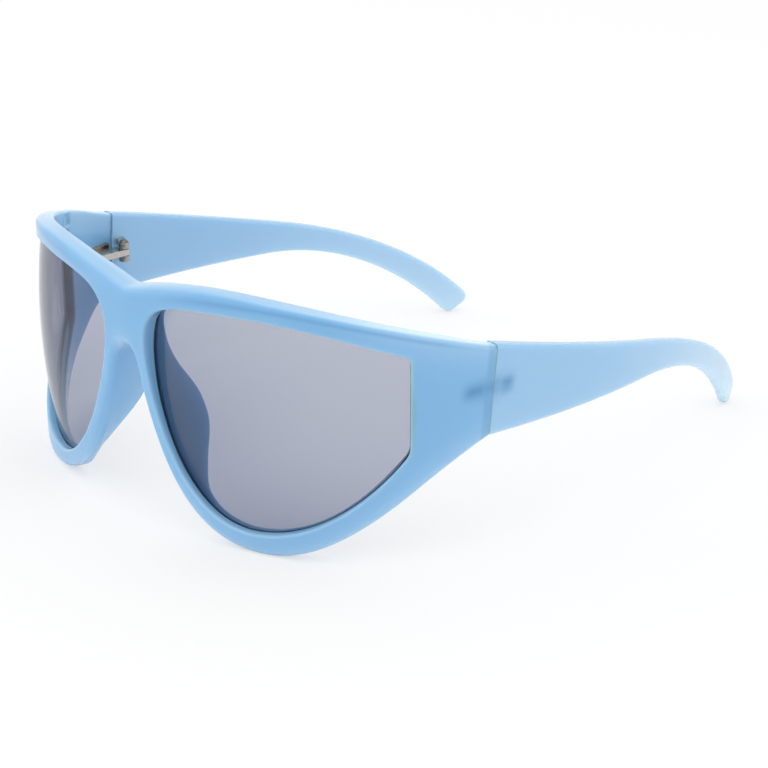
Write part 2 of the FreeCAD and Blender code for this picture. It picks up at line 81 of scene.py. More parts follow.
class Mask(Enum):
    """Values kept on the points of pieces, by the name of their attribute; most of them are painted light or
    painted shade.
    """

    # Painted light: paler on tops lit from above and where light shines through thin plastic, with painted
    # highlights.
    PALE = "edge_pale"
    # Shade over the metal sunk in the plastic, with painted shade and a painted dark reflection.
    SHADE = "inner_shade"
    # Painted shade in the lens seat and on the lens edge.
    SEAT = "seat_shade"
    # Painted shade and painted dark reflections on the hinge metal.
    PAINTED_SHADE = "painted_shade"


class Crowd(Enum):
    """Where the columns of a run stand closer together."""

    EVEN = "even"
    LATE = "late"
    EARLY = "early"
    BOTH = "both"

    def shares(self, count: int) -> Array:
        """Shares of a run's length for a number of columns, from its start to just before its end.

        Args:
            count: Number of columns.
        Returns:
            The shares, from its start on.
        """
        t = np.linspace(0.0, 1.0, count, endpoint=False)
        lean = 0.6
        spread = {
            Crowd.EVEN: t,
            Crowd.LATE: lean * np.sin(t * math.pi / 2) + (1 - lean) * t,
            Crowd.EARLY: lean * (1 - np.cos(t * math.pi / 2)) + (1 - lean) * t,
            Crowd.BOTH: (1 - np.cos(t * math.pi)) / 2,
        }
        return spread[self]


def cubic(
    start: Pair | Array, leave: float, end: Pair | Array, arrive: float, pull: Pair, count: int = FINE
) -> Array:
    """Points of a cubic curve: the Bernstein sum of its two ends and of two handles that leave them.

    Args:
        start: First point.
        leave: Heading at the start, in degrees.
        end: Last point.
        arrive: Heading at the end, in degrees.
        pull: How far the two handles reach, as shares of the span.
        count: Number of points, even in the parameter.
    Returns:
        The points, one a row.
    """
    first, last = np.asarray(start, float), np.asarray(end, float)
    span = np.linalg.norm(last - first)
    headings = np.radians([leave, arrive])
    ways = np.stack([np.cos(headings), np.sin(headings)], axis=1)
    near, far = first + pull[0] * span * ways[0], last - pull[1] * span * ways[1]
    t = np.linspace(0.0, 1.0, count)[:, None]
    return (1 - t) ** 3 * first + 3 * t * (1 - t) ** 2 * near + 3 * t * t * (1 - t) * far + t**3 * last


def along(points: Array, shares: Array) -> Array:
    """Points at shares of the length of a line through points.

    Args:
        points: Points of the line, one a row.
        shares: Shares of its length.
    Returns:
        The points, one a row.
    """
    steps = np.linalg.norm(np.diff(points, axis=0), axis=1)
    length = np.concatenate([[0.0], np.cumsum(steps)])
    wanted = shares * length[-1]
    return np.stack([np.interp(wanted, length, axis) for axis in points.T], axis=1)


def gap_to(points: Array, line: Array) -> Array:
    """Distance from each flat point to a line through points.

    Args:
        points: Flat points.
        line: Points of the line, one a row.
    Returns:
        The least distance to a straight of the line.
    """
    start, step = line[:-1], np.diff(line, axis=0)
    offset = points[..., None, :] - start
    share = np.clip((offset * step).sum(-1) / (step * step).sum(-1), 0.0, 1.0)
    return np.linalg.norm(offset - share[..., None] * step, axis=-1).min(axis=-1)


def eased(values: Array, low: float, high: float) -> Array:
    """Smooth step from 0 at low to 1 at high."""
    t = np.clip((values - low) / (high - low), 0.0, 1.0)
    return t * t * (3.0 - 2.0 * t)


def fading(values: Array, low: float, high: float) -> Array:
    """Smooth step from 1 at low to 0 at high."""
    return 1.0 - eased(values, low, high)


def between(ends: Pair, share: Array) -> Array:
    """Values at shares of the way from a first to a second."""
    return ends[0] + (ends[1] - ends[0]) * share


def rounding(gap: Array, radius: Array | float) -> Array:
    """Fall of a rounded edge: a quarter circle from the radius at the edge to nothing a radius in."""
    inside = np.clip(radius - gap, 0.0, radius)
    return radius - np.sqrt(np.maximum(radius**2 - inside**2, 0.0))


def plateau(values: Array, low: float, high: float, blur: float) -> Array:
    """1 between two values and 0 outside them, with soft ends."""
    return eased(values, low - blur, low + blur) * fading(values, high - blur, high + blur)


@dataclass(frozen=True)
class Glow:
    """A value that dies away with distance: strength times exp(-distance / reach)."""

    strength: float
    reach: float

    def at(self, distance: Array) -> Array:
        """Values at distances."""
        return self.strength * np.exp(-distance / self.reach)


@dataclass(frozen=True)
class Band:
    """A value that holds between two places and has soft ends."""

    strength: float
    low: float
    high: float
    blur: float

    def at(self, places: Array) -> Array:
        """Values at places."""
        return self.strength * plateau(places, self.low, self.high, self.blur)


def rounded_ring(high: Array, wide: Array, corner: Array, arc: int = 7, flat: int = 9) -> tuple[Array, Array]:
    """Rectangles with rounded corners, as rings of points: a quarter circle at each corner, then a straight.

    Args:
        high: Half height of each rectangle.
        wide: Half width of each rectangle.
        corner: Corner radius of each rectangle.
        arc: Points on a corner.
        flat: Points on a straight, between its ends.
    Returns:
        Heights and widths of the points, one ring a row.
    """
    angle = np.linspace(0.0, math.pi / 2, arc) + np.arange(4)[:, None] * math.pi / 2
    signs = (np.array([1.0, 1.0, -1.0, -1.0])[:, None], np.array([1.0, -1.0, -1.0, 1.0])[:, None])
    share = np.linspace(0.0, 1.0, flat + 2)[1:-1]
    rings = []
    for half, sign, turn in ((high, signs[0], np.sin(angle)), (wide, signs[1], np.cos(angle))):
        bend = sign * (half - corner)[:, None, None] + corner[:, None, None] * turn
        after = np.roll(bend[:, :, 0], -1, axis=1)[..., None]
        straight = bend[:, :, -1:] * (1 - share) + after * share
        rings.append(np.concatenate([bend, straight], axis=2).reshape(len(half), -1))
    return rings[0], rings[1]


def grid_quads(rows: int, columns: int, around_rows: bool = False, around_columns: bool = False) -> Array:
    """Corner numbers of the quads of a grid of points, row by row, closed on itself where asked.

    Args:
        rows: Number of rows of points.
        columns: Number of points in a row.
        around_rows: Whether the last row joins the first.
        around_columns: Whether the last point of a row joins its first.
    Returns:
        Four corner numbers for each quad.
    """
    r = np.arange(rows if around_rows else rows - 1)[:, None]
    c = np.arange(columns if around_columns else columns - 1)[None, :]
    r_next, c_next = (r + 1) % rows, (c + 1) % columns
    corners = (r * columns + c, r * columns + c_next, r_next * columns + c_next, r_next * columns + c)
    return np.stack([np.broadcast_to(k, np.broadcast(r, c).shape) for k in corners], axis=-1).reshape(-1, 4)


def fan(ring: Array, middle: int) -> Array:
    """Triangles that close a ring of points on a middle point."""
    return np.stack([ring, np.roll(ring, -1), np.full_like(ring, middle)], axis=1)


@dataclass
class Shell:
    """A surface in the pair's own axes: points in millimetres, faces, and values on the points."""

    points: Array
    faces: list[Array]
    masks: dict[Mask, Array] = field(default_factory=dict)

    def mirrored(self) -> "Shell":
        """The same surface on the other side."""
        return Shell(self.points * (-1.0, 1.0, 1.0), [f[:, ::-1] for f in self.faces], self.masks)

    def joined(self, *others: "Shell") -> "Shell":
        """This surface and others as one."""
        shells = (self, *others)
        starts = np.cumsum([0] + [len(s.points) for s in shells])
        faces = [f + start for s, start in zip(shells, starts) for f in s.faces]
        masks = {key: np.concatenate([s.masks[key] for s in shells]) for key in self.masks}
        return Shell(np.concatenate([s.points for s in shells]), faces, masks)


def closed(points: Array, first: Array, last: Array) -> Shell:
    """Surface over rows of rings that is closed at both ends on a point.

    Args:
        points: Points of the rings, one ring a row.
        first: Point that closes the first ring.
        last: Point that closes the last ring.
    Returns:
        The surface.
    """
    rows, count = points.shape[:2]
    ring = np.arange(count)
    caps = [fan(ring[::-1], rows * count), fan(ring + (rows - 1) * count, rows * count + 1)]
    points = np.concatenate([points.reshape(-1, 3), np.stack([first, last])])
    return Shell(points, [grid_quads(rows, count, False, True), *caps])


def new_object(name: str, data: bpy.types.ID) -> bpy.types.Object:
    """Puts a new object with its data into the scene."""
    made = bpy.data.objects.new(name, data)
    bpy.context.scene.collection.objects.link(made)
    return made


@dataclass(frozen=True)
class Wall:
    """The front's curved wall, unrolled: an arc across the face, then a tighter one round to the seam."""

    front_radius: float = 107.0
    front_turn: float = math.radians(22.0)
    wrap_radius: float = 51.0
    thickness: float = 5.0
    end_thickness: float = 3.6
    taper_s: float = 84.0
    square_s: Pair = (80.0, 92.0)
    rim_focus: float = 85.0
    wing_focus: float = -150.0
    seam_s: float = 96.3

    @property
    def front_arc(self) -> float:
        """Length of the shallow arc, from the middle."""
        return self.front_radius * self.front_turn

    def heading(self, s: Array) -> Array:
        """Direction of the outer curve at length s, in radians from +X."""
        s = np.asarray(s, float)
        wrap = self.front_turn + (s - self.front_arc) / self.wrap_radius
        return np.where(s <= self.front_arc, s / self.front_radius, wrap)

    def outer(self, s: Array) -> Array:
        """Points (x, y) of the outer curve at length s: centre of its arc plus radius times direction."""
        angle = self.heading(s)
        offset = self.front_radius - self.wrap_radius
        wraps = np.asarray(s, float) > self.front_arc
        radius = np.where(wraps, self.wrap_radius, self.front_radius)
        x = np.where(wraps, offset * math.sin(self.front_turn), 0.0) + radius * np.sin(angle)
        y_middle = np.where(wraps, self.front_radius - offset * math.cos(self.front_turn), self.front_radius)
        return np.stack([x, y_middle - radius * np.cos(angle)], axis=-1)

    def inner(self, s: Array) -> Array:
        """Thickness of the wall at length s: even across the face, then easing to a thinner end."""
        return self.thickness - (self.thickness - self.end_thickness) * eased(s, self.front_arc, self.taper_s)

    def inward(self, s: Array) -> Array:
        """Steps of 1 mm square into the wall."""
        angle = self.heading(s)
        return np.stack([-np.sin(angle), np.cos(angle)], axis=-1)

    def rays(self, s: Array, focus: float) -> Array:
        """Level steps that go in by 1 mm of depth along the lines through a focus on the middle plane."""
        place = self.outer(s)
        way = np.stack([-place[..., 0], focus - place[..., 1]], axis=-1)
        return way / (way * self.inward(s)).sum(-1, keepdims=True)

    def at(self, s: Array, z: Array, depth: Array, wing: Array | float = 0.0) -> Array:
        """Points at a depth inside the outer curve.

        They lie at outer(s) + depth times a ray. The ray aims at the rim's focus, turns with depth towards
        the nose wings' focus by the share wing, and turns square to the wall before the seam.

        Args:
            s: Lengths along the curve.
            z: Heights.
            depth: Depths below the outer face.
            wing: Share of the nose wing at each point.
        Returns:
            Points (x, y, z).
        """
        s, z, depth, wing = np.broadcast_arrays(s, z, depth, wing)
        share = (wing * eased(depth, self.thickness / 2, self.thickness))[..., None]
        ray = (1 - share) * self.rays(s, self.rim_focus) + share * self.rays(s, self.wing_focus)
        square = eased(s, *self.square_s)[..., None]
        flat = self.outer(s) + depth[..., None] * ((1 - square) * ray + square * self.inward(s))
        return np.concatenate([flat, z[..., None]], axis=-1)


@dataclass(frozen=True)
class Outline:
    """Flat outlines of the front's left half: its lens opening and its own edge."""

    nose_s: float = 7.2
    side_s: float = 74.7
    seam_s: float = 96.3
    opening_low_s: float = 37.5
    rim_low_s: float = 40.3
    top_s: float = 37.8
    peak_s: float = 30.0
    rim_bottom: float = 5.0
    opening_top: float = 57.1
    nose_z: float = 44.9
    side_top: float = 49.6
    side_bottom: float = 26.6
    side_slant: float = 51.0
    top_slant: float = 17.0
    brow_top: float = 61.7
    bridge_top: float = 57.5
    arch_top: float = 42.9
    throat_s: float = 5.3
    throat_z: float = 35.9
    throat_slant: float = 17.0
    brow_slant: float = 16.7
    rim_slant: float = 14.0
    seam_bottom: float = 27.4
    seam_top: float = 49.3
    seam_pivot: float = 43.6
    seam_lean: float = math.tan(math.radians(5.5))
    corner_round: float = 1.6
    top_pull: Pair = (0.37, 0.32)
    outer_pull: Pair = (0.255, 0.395)
    inner_pull: Pair = (0.43, 0.17)
    nose_pull: Pair = (0.32, 0.68)
    brow_pull: Pair = (0.36, 0.36)
    rim_outer_pull: Pair = (0.30, 0.36)
    rim_inner_pull: Pair = (0.40, 0.41)
    arch_pull: Pair = (0.45, 0.40)
    bridge_pull: Pair = (0.10, 0.53)
    ring_shares: tuple[float, ...] = (0.22, 0.12, 0.24, 0.24, 0.18)
    side_run: Pair = (71.0, 74.5)
    seat_top: Pair = (48.0, 54.0)

    def opening(self, grow: float = 0.0) -> dict[str, Array]:
        """Runs of the opening's edge, grown by a margin, clockwise seen from the front's outside left.

        Args:
            grow: Margin.
        Returns:
            Points of each run by its name.
        """
        corner_low = (self.side_s + grow, self.side_bottom - grow / 2)
        corner_top = (self.side_s + grow, self.side_top + grow)
        low = (self.opening_low_s, self.rim_bottom - grow)
        nose = (self.nose_s - grow, self.nose_z)
        top = (self.top_s, self.opening_top + grow)
        return {
            "top": cubic(top, 0.0, corner_top, -self.top_slant, self.top_pull),
            "side": np.linspace(corner_top, corner_low, FINE),
            "outer": cubic(corner_low, 180.0 + self.side_slant, low, 180.0, self.outer_pull),
            "inner": cubic(low, 180.0, nose, 90.0, self.inner_pull),
            "nose": cubic(nose, 90.0, top, 0.0, self.nose_pull),
        }

    def at_side(self, s: Array) -> Array:
        """Share of a place on the opening's edge that belongs to its straight side."""
        return eased(s, *self.side_run)

    def below_top(self, z: Array) -> Array:
        """Share of the lens seat's darkness at a height: whole up to the side's top, then dying away."""
        return fading(z, *self.seat_top)

    def seam_back(self, z: Array) -> Array:
        """How far back the leaning seam lies at a height."""
        return (z - self.seam_pivot) * self.seam_lean

    def edge(self) -> dict[str, Array]:
        """Runs of the half's own edge, in the opening's turn, with two of them cut by the leaning seam.

        Returns:
            Points of each run by its name.
        """
        middle, peak, arch = (0.0, self.bridge_top), (self.peak_s, self.brow_top), (0.0, self.arch_top)
        seam_top, seam_low = (self.seam_s, self.seam_top), (self.seam_s, self.seam_bottom)
        slope = math.tan(math.radians(self.brow_slant))
        back = self.seam_back(self.seam_top) / (1 + self.seam_lean * slope)
        last = (self.seam_s + back, self.seam_top - back * slope)
        rim = cubic(seam_low, 180.0 + self.rim_slant, (self.rim_low_s, 0.0), 180.0, self.rim_outer_pull)
        rim = rim[rim[:, 0] < self.seam_s + self.seam_back(rim[:, 1])]
        low, throat = (self.rim_low_s, 0.0), (self.throat_s, self.throat_z)
        rise = 90.0 + self.throat_slant
        return {
            "brow": np.concatenate([cubic(peak, 0.0, seam_top, -self.brow_slant, self.brow_pull), [last]]),
            "seam": np.linspace(last, rim[0], FINE),
            "rim_outer": rim,
            "rim_inner": cubic(low, 180.0, throat, rise, self.rim_inner_pull),
            "arch": cubic(throat, rise, arch, 180.0, self.arch_pull),
            "middle": np.linspace(arch, middle, FINE),
            "bridge": cubic(middle, 0.0, peak, 0.0, self.bridge_pull),
        }

    def rounded(self, ring: Array, corner: int) -> Array:
        """A closed ring of points with one corner eased into a parabola between points a little way off.

        Args:
            ring: Points of the ring, one a row.
            corner: Number of the corner's point.
        Returns:
            The eased ring.
        """
        turned = np.roll(ring, len(ring) // 2 - corner, axis=0)
        steps = np.linalg.norm(np.diff(turned, axis=0), axis=1)
        length = np.concatenate([[0.0], np.cumsum(steps)])
        length -= length[len(ring) // 2]
        reach = np.array([-self.corner_round, self.corner_round])
        ends = np.stack([np.interp(reach, length, axis) for axis in turned.T], axis=1)
        u = np.clip((length / self.corner_round + 1) / 2, 0.0, 1.0)[:, None]
        bend = (1 - u) ** 2 * ends[0] + 2 * u * (1 - u) * ring[corner] + u**2 * ends[1]
        near = (np.abs(length) < self.corner_round)[:, None]
        return np.roll(np.where(near, bend, turned), corner - len(ring) // 2, axis=0)

    def lens_ring(self, grow: float, count: int) -> Array:
        """Closed ring of points on the opening's edge, grown by a margin, its two outer corners eased.

        Args:
            grow: Margin.
            count: Number of points, or a few less.
        Returns:
            The points, one a row.
        """
        runs = self.opening(grow)
        counts = dict(zip(runs, (np.array(self.ring_shares) * count).astype(int)))
        parts = [along(runs[k], np.linspace(0, 1, counts[k], endpoint=False)) for k in runs]
        ring = np.concatenate(parts)
        ring = self.rounded(ring, counts["top"])
        return self.rounded(ring, counts["top"] + counts["side"])


@dataclass(frozen=True)
class LensSheet:
    """The bowed sheet that both the lens and its groove follow: an arc of a circle about an upright line,
    whose radius falls along another arc above and below the middle and grows with height."""

    radius: float = 53.0
    thickness: float = 1.2
    nose_recess: float = 3.4
    side_recess: float = 0.4
    bow: float = 2.2
    lean: float = 1.6
    lap: float = 1.0
    clearance: float = 0.1

    def depth(self, wall: Wall, outline: Outline, s: Array, z: Array, inward: float = 0.0) -> Array:
        """Depth along the rim's rays at which the sheet, moved inward, is met.

        With q the ray's start from the sheet's centre and r the radius at that height, the depth solves
        |q + depth * ray| = r, a quadratic in depth, whose nearer root is taken.

        Args:
            wall: Wall of the front.
            outline: Outlines of the front.
            s: Lengths along the wall.
            z: Heights.
            inward: How far the sheet's outer face is moved in.
        Returns:
            Depths below the wall's outer face.
        """
        a = wall.at(outline.nose_s, 0.0, self.nose_recess)[:2]
        b = wall.at(outline.side_s, 0.0, self.side_recess)[:2]
        half = np.linalg.norm(b - a) / 2
        rise = math.sqrt(self.radius**2 - half**2) / (2 * half)
        centre = (a + b) / 2 + rise * np.array([a[1] - b[1], b[0] - a[0]])
        height = outline.opening_top - outline.rim_bottom
        bend = (height / 2) ** 2 / (2 * self.bow) + self.bow / 2
        level = z - (outline.rim_bottom + height / 2)
        radius = self.radius - inward - bend + np.sqrt(bend**2 - level**2) + self.lean / height * level
        q, ray = wall.outer(s) - centre, wall.rays(s, wall.rim_focus)
        aa, bb, cc = (ray * ray).sum(-1), (q * ray).sum(-1), (q * q).sum(-1) - radius**2
        return (-bb - np.sqrt(bb**2 - aa * cc)) / aa


@dataclass(frozen=True)
class Hinge:
    """Places and sizes of a hinge in the seam's axes: x outward, y back, z up."""

    axis_x: float = -7.8
    axis_y: float = 0.5
    z: float = 39.35
    knuckle_radius: float = 1.45
    knuckle_height: float = 1.7
    knuckle_gap: float = 0.08
    screw_radius: float = 0.7
    head_radius: float = 1.2
    head_height: float = 0.8
    head_rim: float = 0.18
    head_edge: float = 0.06
    end_bevel: float = 0.1
    slot: float = 0.4
    slot_soft: float = 0.03
    shoe_height: float = 4.4
    shoe_sink: float = 2.0
    front_proud: float = 0.8
    temple_proud: float = -0.3
    front_shoe: Pair = (-9.0, -1.5)
    temple_shoe: Pair = (2.2, 7.7)
    arm_length: float = 8.5
    edge: float = 0.16

    @property
    def pitch(self) -> float:
        """Step from one knuckle to the next."""
        return self.knuckle_height + self.knuckle_gap


class Placement:
    """Carries points from the pair's own axes to the frame, by the place and lean of the left hinge."""

    def __init__(self, wall: Wall, hinge: Hinge, joints: list[dict]) -> None:
        """Works the lean and the shift out from the frame's joints.

        Args:
            wall: Wall of the front.
            hinge: Sizes of the hinge.
            joints: Joints of the frame.
        """
        joint = next(j for j in joints if j["child"] == "temple_left")
        axis = np.array(joint["axis"])
        lean = math.atan2(-axis[1], axis[2])
        c, s = math.cos(lean), math.sin(lean)
        self.wall = wall
        self.turn = np.array([[1.0, 0.0, 0.0], [0.0, c, -s], [0.0, s, c]])
        own = self.from_seam(np.array([hinge.axis_x, hinge.axis_y, hinge.z]))
        self.shift = np.array(joint["pos_m"]) - self.turn @ own * MM

    def from_seam(self, points: Array) -> Array:
        """Points given in the left seam's axes, turned with the wall and moved there.

        Args:
            points: Points in the seam's axes.
        Returns:
            Points in the pair's own axes.
        """
        turn = float(self.wall.heading(self.wall.seam_s)) - math.pi / 2
        x = points[..., 0] * math.cos(turn) - points[..., 1] * math.sin(turn)
        y = points[..., 0] * math.sin(turn) + points[..., 1] * math.cos(turn)
        start = self.wall.outer(self.wall.seam_s)
        return np.stack([x + start[0], y + start[1], points[..., 2]], axis=-1)

    def to_frame(self, points: Array) -> Array:
        """Points in metres in the frame."""
        return points @ self.turn.T * MM + self.shift


@dataclass(frozen=True)
class Kit:
    """What every sub-assembly needs: the wall, the outlines, the lens sheet, the hinge and the placement."""

    wall: Wall
    outline: Outline
    sheet: LensSheet
    hinge: Hinge
    placement: Placement

    def piece(
        self, name: str, shell: Shell, material: bpy.types.Material, body: str, slot: str
    ) -> bpy.types.Object:
        """Makes a surface into a closed, smooth piece that rides on a body and stands for its CAD node.

        Args:
            name: Name of the CAD node that the piece replaces.
            shell: Surface in the pair's own axes.
            material: Material of the whole piece.
            body: Body that it rides on.
            slot: Material slot of the record; not used.
        Returns:
            The object.
        """
        mesh = bpy.data.meshes.new("visual_" + name)
        faces = [row for f in shell.faces for row in f.tolist()]
        mesh.from_pydata(self.placement.to_frame(shell.points).tolist(), [], faces)
        for mask, values in shell.masks.items():
            layer = mesh.attributes.new(mask.value, "FLOAT", "POINT")
            layer.data.foreach_set("value", np.ascontiguousarray(values, np.float32))
        work = bmesh.new()
        work.from_mesh(mesh)
        bmesh.ops.remove_doubles(work, verts=work.verts, dist=MERGE)
        bmesh.ops.dissolve_degenerate(work, edges=work.edges, dist=SLIVER)
        loose = [v for v in work.verts if not v.link_faces]
        bmesh.ops.delete(work, geom=loose, context="VERTS")
        bmesh.ops.recalc_face_normals(work, faces=work.faces)
        open_edges = sum(1 for e in work.edges if not e.is_manifold)
        work.to_mesh(mesh)
        work.free()
        mesh.polygons.foreach_set("use_smooth", np.ones(len(mesh.polygons), bool))
        mesh.materials.append(material)
        mesh.update()
        piece = new_object("visual_" + name, mesh)
        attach(piece, body)
        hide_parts(name)
        LOG.info("%s: %d faces, %d open edges", piece.name, len(mesh.polygons), open_edges)
        return piece

    def pair(
        self, name: str, left: Shell, material: bpy.types.Material, slot: str, body: str = ""
    ) -> list[bpy.types.Object]:
        """Makes a piece and its mirror.

        Args:
            name: Name of the CAD nodes without the side.
            left: Surface of the left one.
            material: Material of both.
            slot: Material slot of the record.
            body: Body that both ride on, or nothing where each rides on its own side's temple.
        Returns:
            The two objects.
        """
        shells = {Side.LEFT: left, Side.RIGHT: left.mirrored()}
        return [
            self.piece(f"{name}_{side.suffix}", shell, material, body or "temple_" + side.suffix, slot)
            for side, shell in shells.items()
        ]


@dataclass(frozen=True)
class FrontGrid:
    """Flat grid of the front's left half: each row runs from the opening out to the edge."""

    flat: Array
    opening: Array
    edge: Array
    recess: Array
    to_top: Array
    to_low: Array
    to_seam: Array
    to_opening: Array
    on_middle: Array


@dataclass
class FrontFrame:
    """One-piece plastic front: brow, bridge, rims, nose wings and the two end pieces.

    Sizes that end in _s or _z are the lengths or heights between which something sets in or dies away.
    """

    kit: Kit
    brow_round: Pair = (2.5, 1.4)
    brow_s: Pair = (15.0, 55.0)
    rim_round: float = 1.7
    rim_round_more: float = 1.1
    rim_outer_s: Pair = (45.0, 65.0)
    rim_outer_z: Pair = (19.0, 26.0)
    arch_round_more: float = 0.9
    arch_s: Pair = (2.0, 5.0)
    arch_z: Pair = (38.0, 42.0)
    seam_round: float = 0.06
    lip_share: float = 0.25
    lip_least: float = 0.16
    lip_most: float = 0.75
    back_round: Pair = (1.0, 2.0)
    back_round_s: Pair = (70.0, 84.0)
    back_least: float = 0.2
    back_lip: Pair = (0.3, 0.8)
    back_lip_s: Pair = (70.0, 74.0)
    bridge_depth: float = 6.2
    wing_depth: float = 14.4
    wing_at: float = 27.0
    wing_low: float = 3.0
    wing_heel: float = 8.0
    wing_top_pull: Pair = (0.75, 0.29)
    wing_low_pull: Pair = (0.27, 0.57)
    wing_blend: float = 0.8
    spread_s: Pair = (17.0, 28.0)
    spread_z: Pair = (46.0, 54.0)
    tab_length: float = 4.5
    tab_height: float = 3.0
    tab_depth: float = 0.8
    tab_ahead: float = 0.6
    tab_above: float = 1.7
    tab_soft: float = 0.5
    groove_corner: float = 0.06
    # Painted light: the top paler as if lit from above, glows near the end piece's top, along the lower edges
    # and on the opening's lip as if light shone through thin plastic, a painted highlight on the arch's top,
    # and a paler edge wall and back of the nose wings.
    top_pale: Pair = (0.3, 0.6)
    top_pale_s: Pair = (30.0, 75.0)
    top_pale_share: Pair = (0.05, 0.4)
    end_glow: Glow = Glow(0.4, 3.5)
    end_glow_s: Pair = (50.0, 80.0)
    low_glow: Glow = Glow(0.42, 3.0)
    low_glow_share: Pair = (0.3, 1.0)
    low_glow_s: Pair = (12.0, 25.0)
    arch_glow: Glow = Glow(0.4, 1.6)
    lip_glow: Glow = Glow(0.2, 0.4)
    wall_pale: float = 0.6
    wing_pale: float = 0.3
    wing_pale_s: Pair = (20.0, 35.0)
    shoe_high: Band = Band(1.0, -1.5, 1.5, 1.8)
    shoe_ends: Pair = (0.9, -0.9)
    shoe_blur: float = 1.8
    haze_high: Band = Band(1.0, -2.0, 2.0, 2.5)
    haze_long: Band = Band(0.8, -9.0, 5.0, 4.0)
    strip: Band = Band(0.35, -1.0, 2.2, 0.35)
    # Painted dark reflection along the rounding under the brow's top.
    top_line: Band = Band(0.5, 0.75, 1.3, 0.4)
    top_line_start_s: Pair = (8.0, 30.0)
    top_line_end_s: Pair = (78.0, 92.0)
    top_line_end: float = 0.3
    # Painted shade on the inside of the end piece, most of all below.
    inner_shade: Pair = (0.4, 0.1)
    inner_shade_z: Pair = (28.0, 42.0)
    inner_shade_s: Pair = (60.0, 76.0)
    # Painted shade in the seam's gap.
    seam_shade: float = 0.5
    seam_reach: Pair = (0.03, 0.16)
    # Painted shade in the lens seat, and on the inner face behind it.
    seat_round: tuple[float, ...] = (0.0, 0.0, 0.0, 0.0, 0.1, 0.2, 0.3, 0.5, 0.7, 0.9, 1.0, 0.4, 0.0, 0.0)
    seat_side: tuple[float, ...] = (0.9, 0.9, 0.9, 1.0, 1.0, 1.0, 0.8, 0.5, 0.2, 0.0, 0.0, 0.0, 0.0, 0.0)
    behind_shade: float = 0.8
    behind_s: Pair = (50.0, 72.0)
    behind_reach: Pair = (0.4, 1.2)
    pair_levels: tuple[float, float, float] = (36.5, 41.5, 53.0)
    columns_between: int = 20
    near_steps: tuple[float, ...] = (0.0, 0.1, 0.3, 0.6, 1.15)
    far_steps: tuple[float, ...] = (1.12, 0.88, 0.67, 0.5, 0.36, 0.235, 0.14, 0.07, 0.03, 0.0)
    edge_counts: tuple[int, int] = (220, 300)
    wall_steps: tuple[float, ...] = (0.04, 0.2, 0.4, 0.6, 0.8, 0.96)
    runs: tuple[tuple[int, Crowd], ...] = (
        (96, Crowd.LATE), (64, Crowd.BOTH), (96, Crowd.EARLY), (110, Crowd.LATE),
        (40, Crowd.EVEN), (34, Crowd.BOTH), (60, Crowd.EARLY),
    )

    def columns(self) -> tuple[Array, Array, Array]:
        """Matched rings round the opening and the half's edge, in seven runs.

        Returns:
            Opening points, edge points, and which of these start a stretch along the middle plane.
        """
        o, e = self.kit.outline.opening(), self.kit.outline.edge()
        throat, arch = np.searchsorted(o["inner"][:, 1], self.pair_levels[:2])
        bridge = np.searchsorted(o["nose"][:, 1], self.pair_levels[2])
        pairs = [
            (o["top"], e["brow"]),
            (o["side"], e["seam"]),
            (o["outer"], e["rim_outer"]),
            (o["inner"][: throat + 1], e["rim_inner"]),
            (o["inner"][throat : arch + 1], e["arch"]),
            (np.concatenate([o["inner"][arch:], o["nose"][1 : bridge + 1]]), e["middle"]),
            (o["nose"][bridge:], e["bridge"]),
        ]
        shares = [crowd.shares(count) for count, crowd in self.runs]
        opening = np.concatenate([along(p[0], t) for p, t in zip(pairs, shares)])
        edge = np.concatenate([along(p[1], t) for p, t in zip(pairs, shares)])
        corner_top = len(shares[0])
        for corner in (corner_top, corner_top + len(shares[1])):
            opening = self.kit.outline.rounded(opening, corner)
        middle = np.concatenate([np.full(len(t), p[1] is e["middle"]) for p, t in zip(pairs, shares)])
        return opening, edge, middle

    def rim_radius(self, s: Array, z: Array) -> Array:
        """Rounding of the lower edge, larger round the outside of the rims and at the arch's top."""
        outside = self.rim_round_more * eased(s, *self.rim_outer_s) * fading(z, *self.rim_outer_z)
        return self.rim_round + outside + self.arch_round_more * self.at_arch(s, z)

    def at_arch(self, s: Array, z: Array) -> Array:
        """Share of a place that belongs to the top of the nose arch."""
        return fading(s, *self.arch_s) * eased(z, *self.arch_z)

    def brow_radius(self, s: Array) -> Array:
        """Rounding of the top edge, larger towards the bridge."""
        return between(self.brow_round, eased(s, *self.brow_s))

    def lip_radius(self, recess: Array) -> Array:
        """Rounding of the opening's front edge, a share of how far the lens is set back."""
        return np.clip(self.lip_share * recess, self.lip_least, self.lip_most)

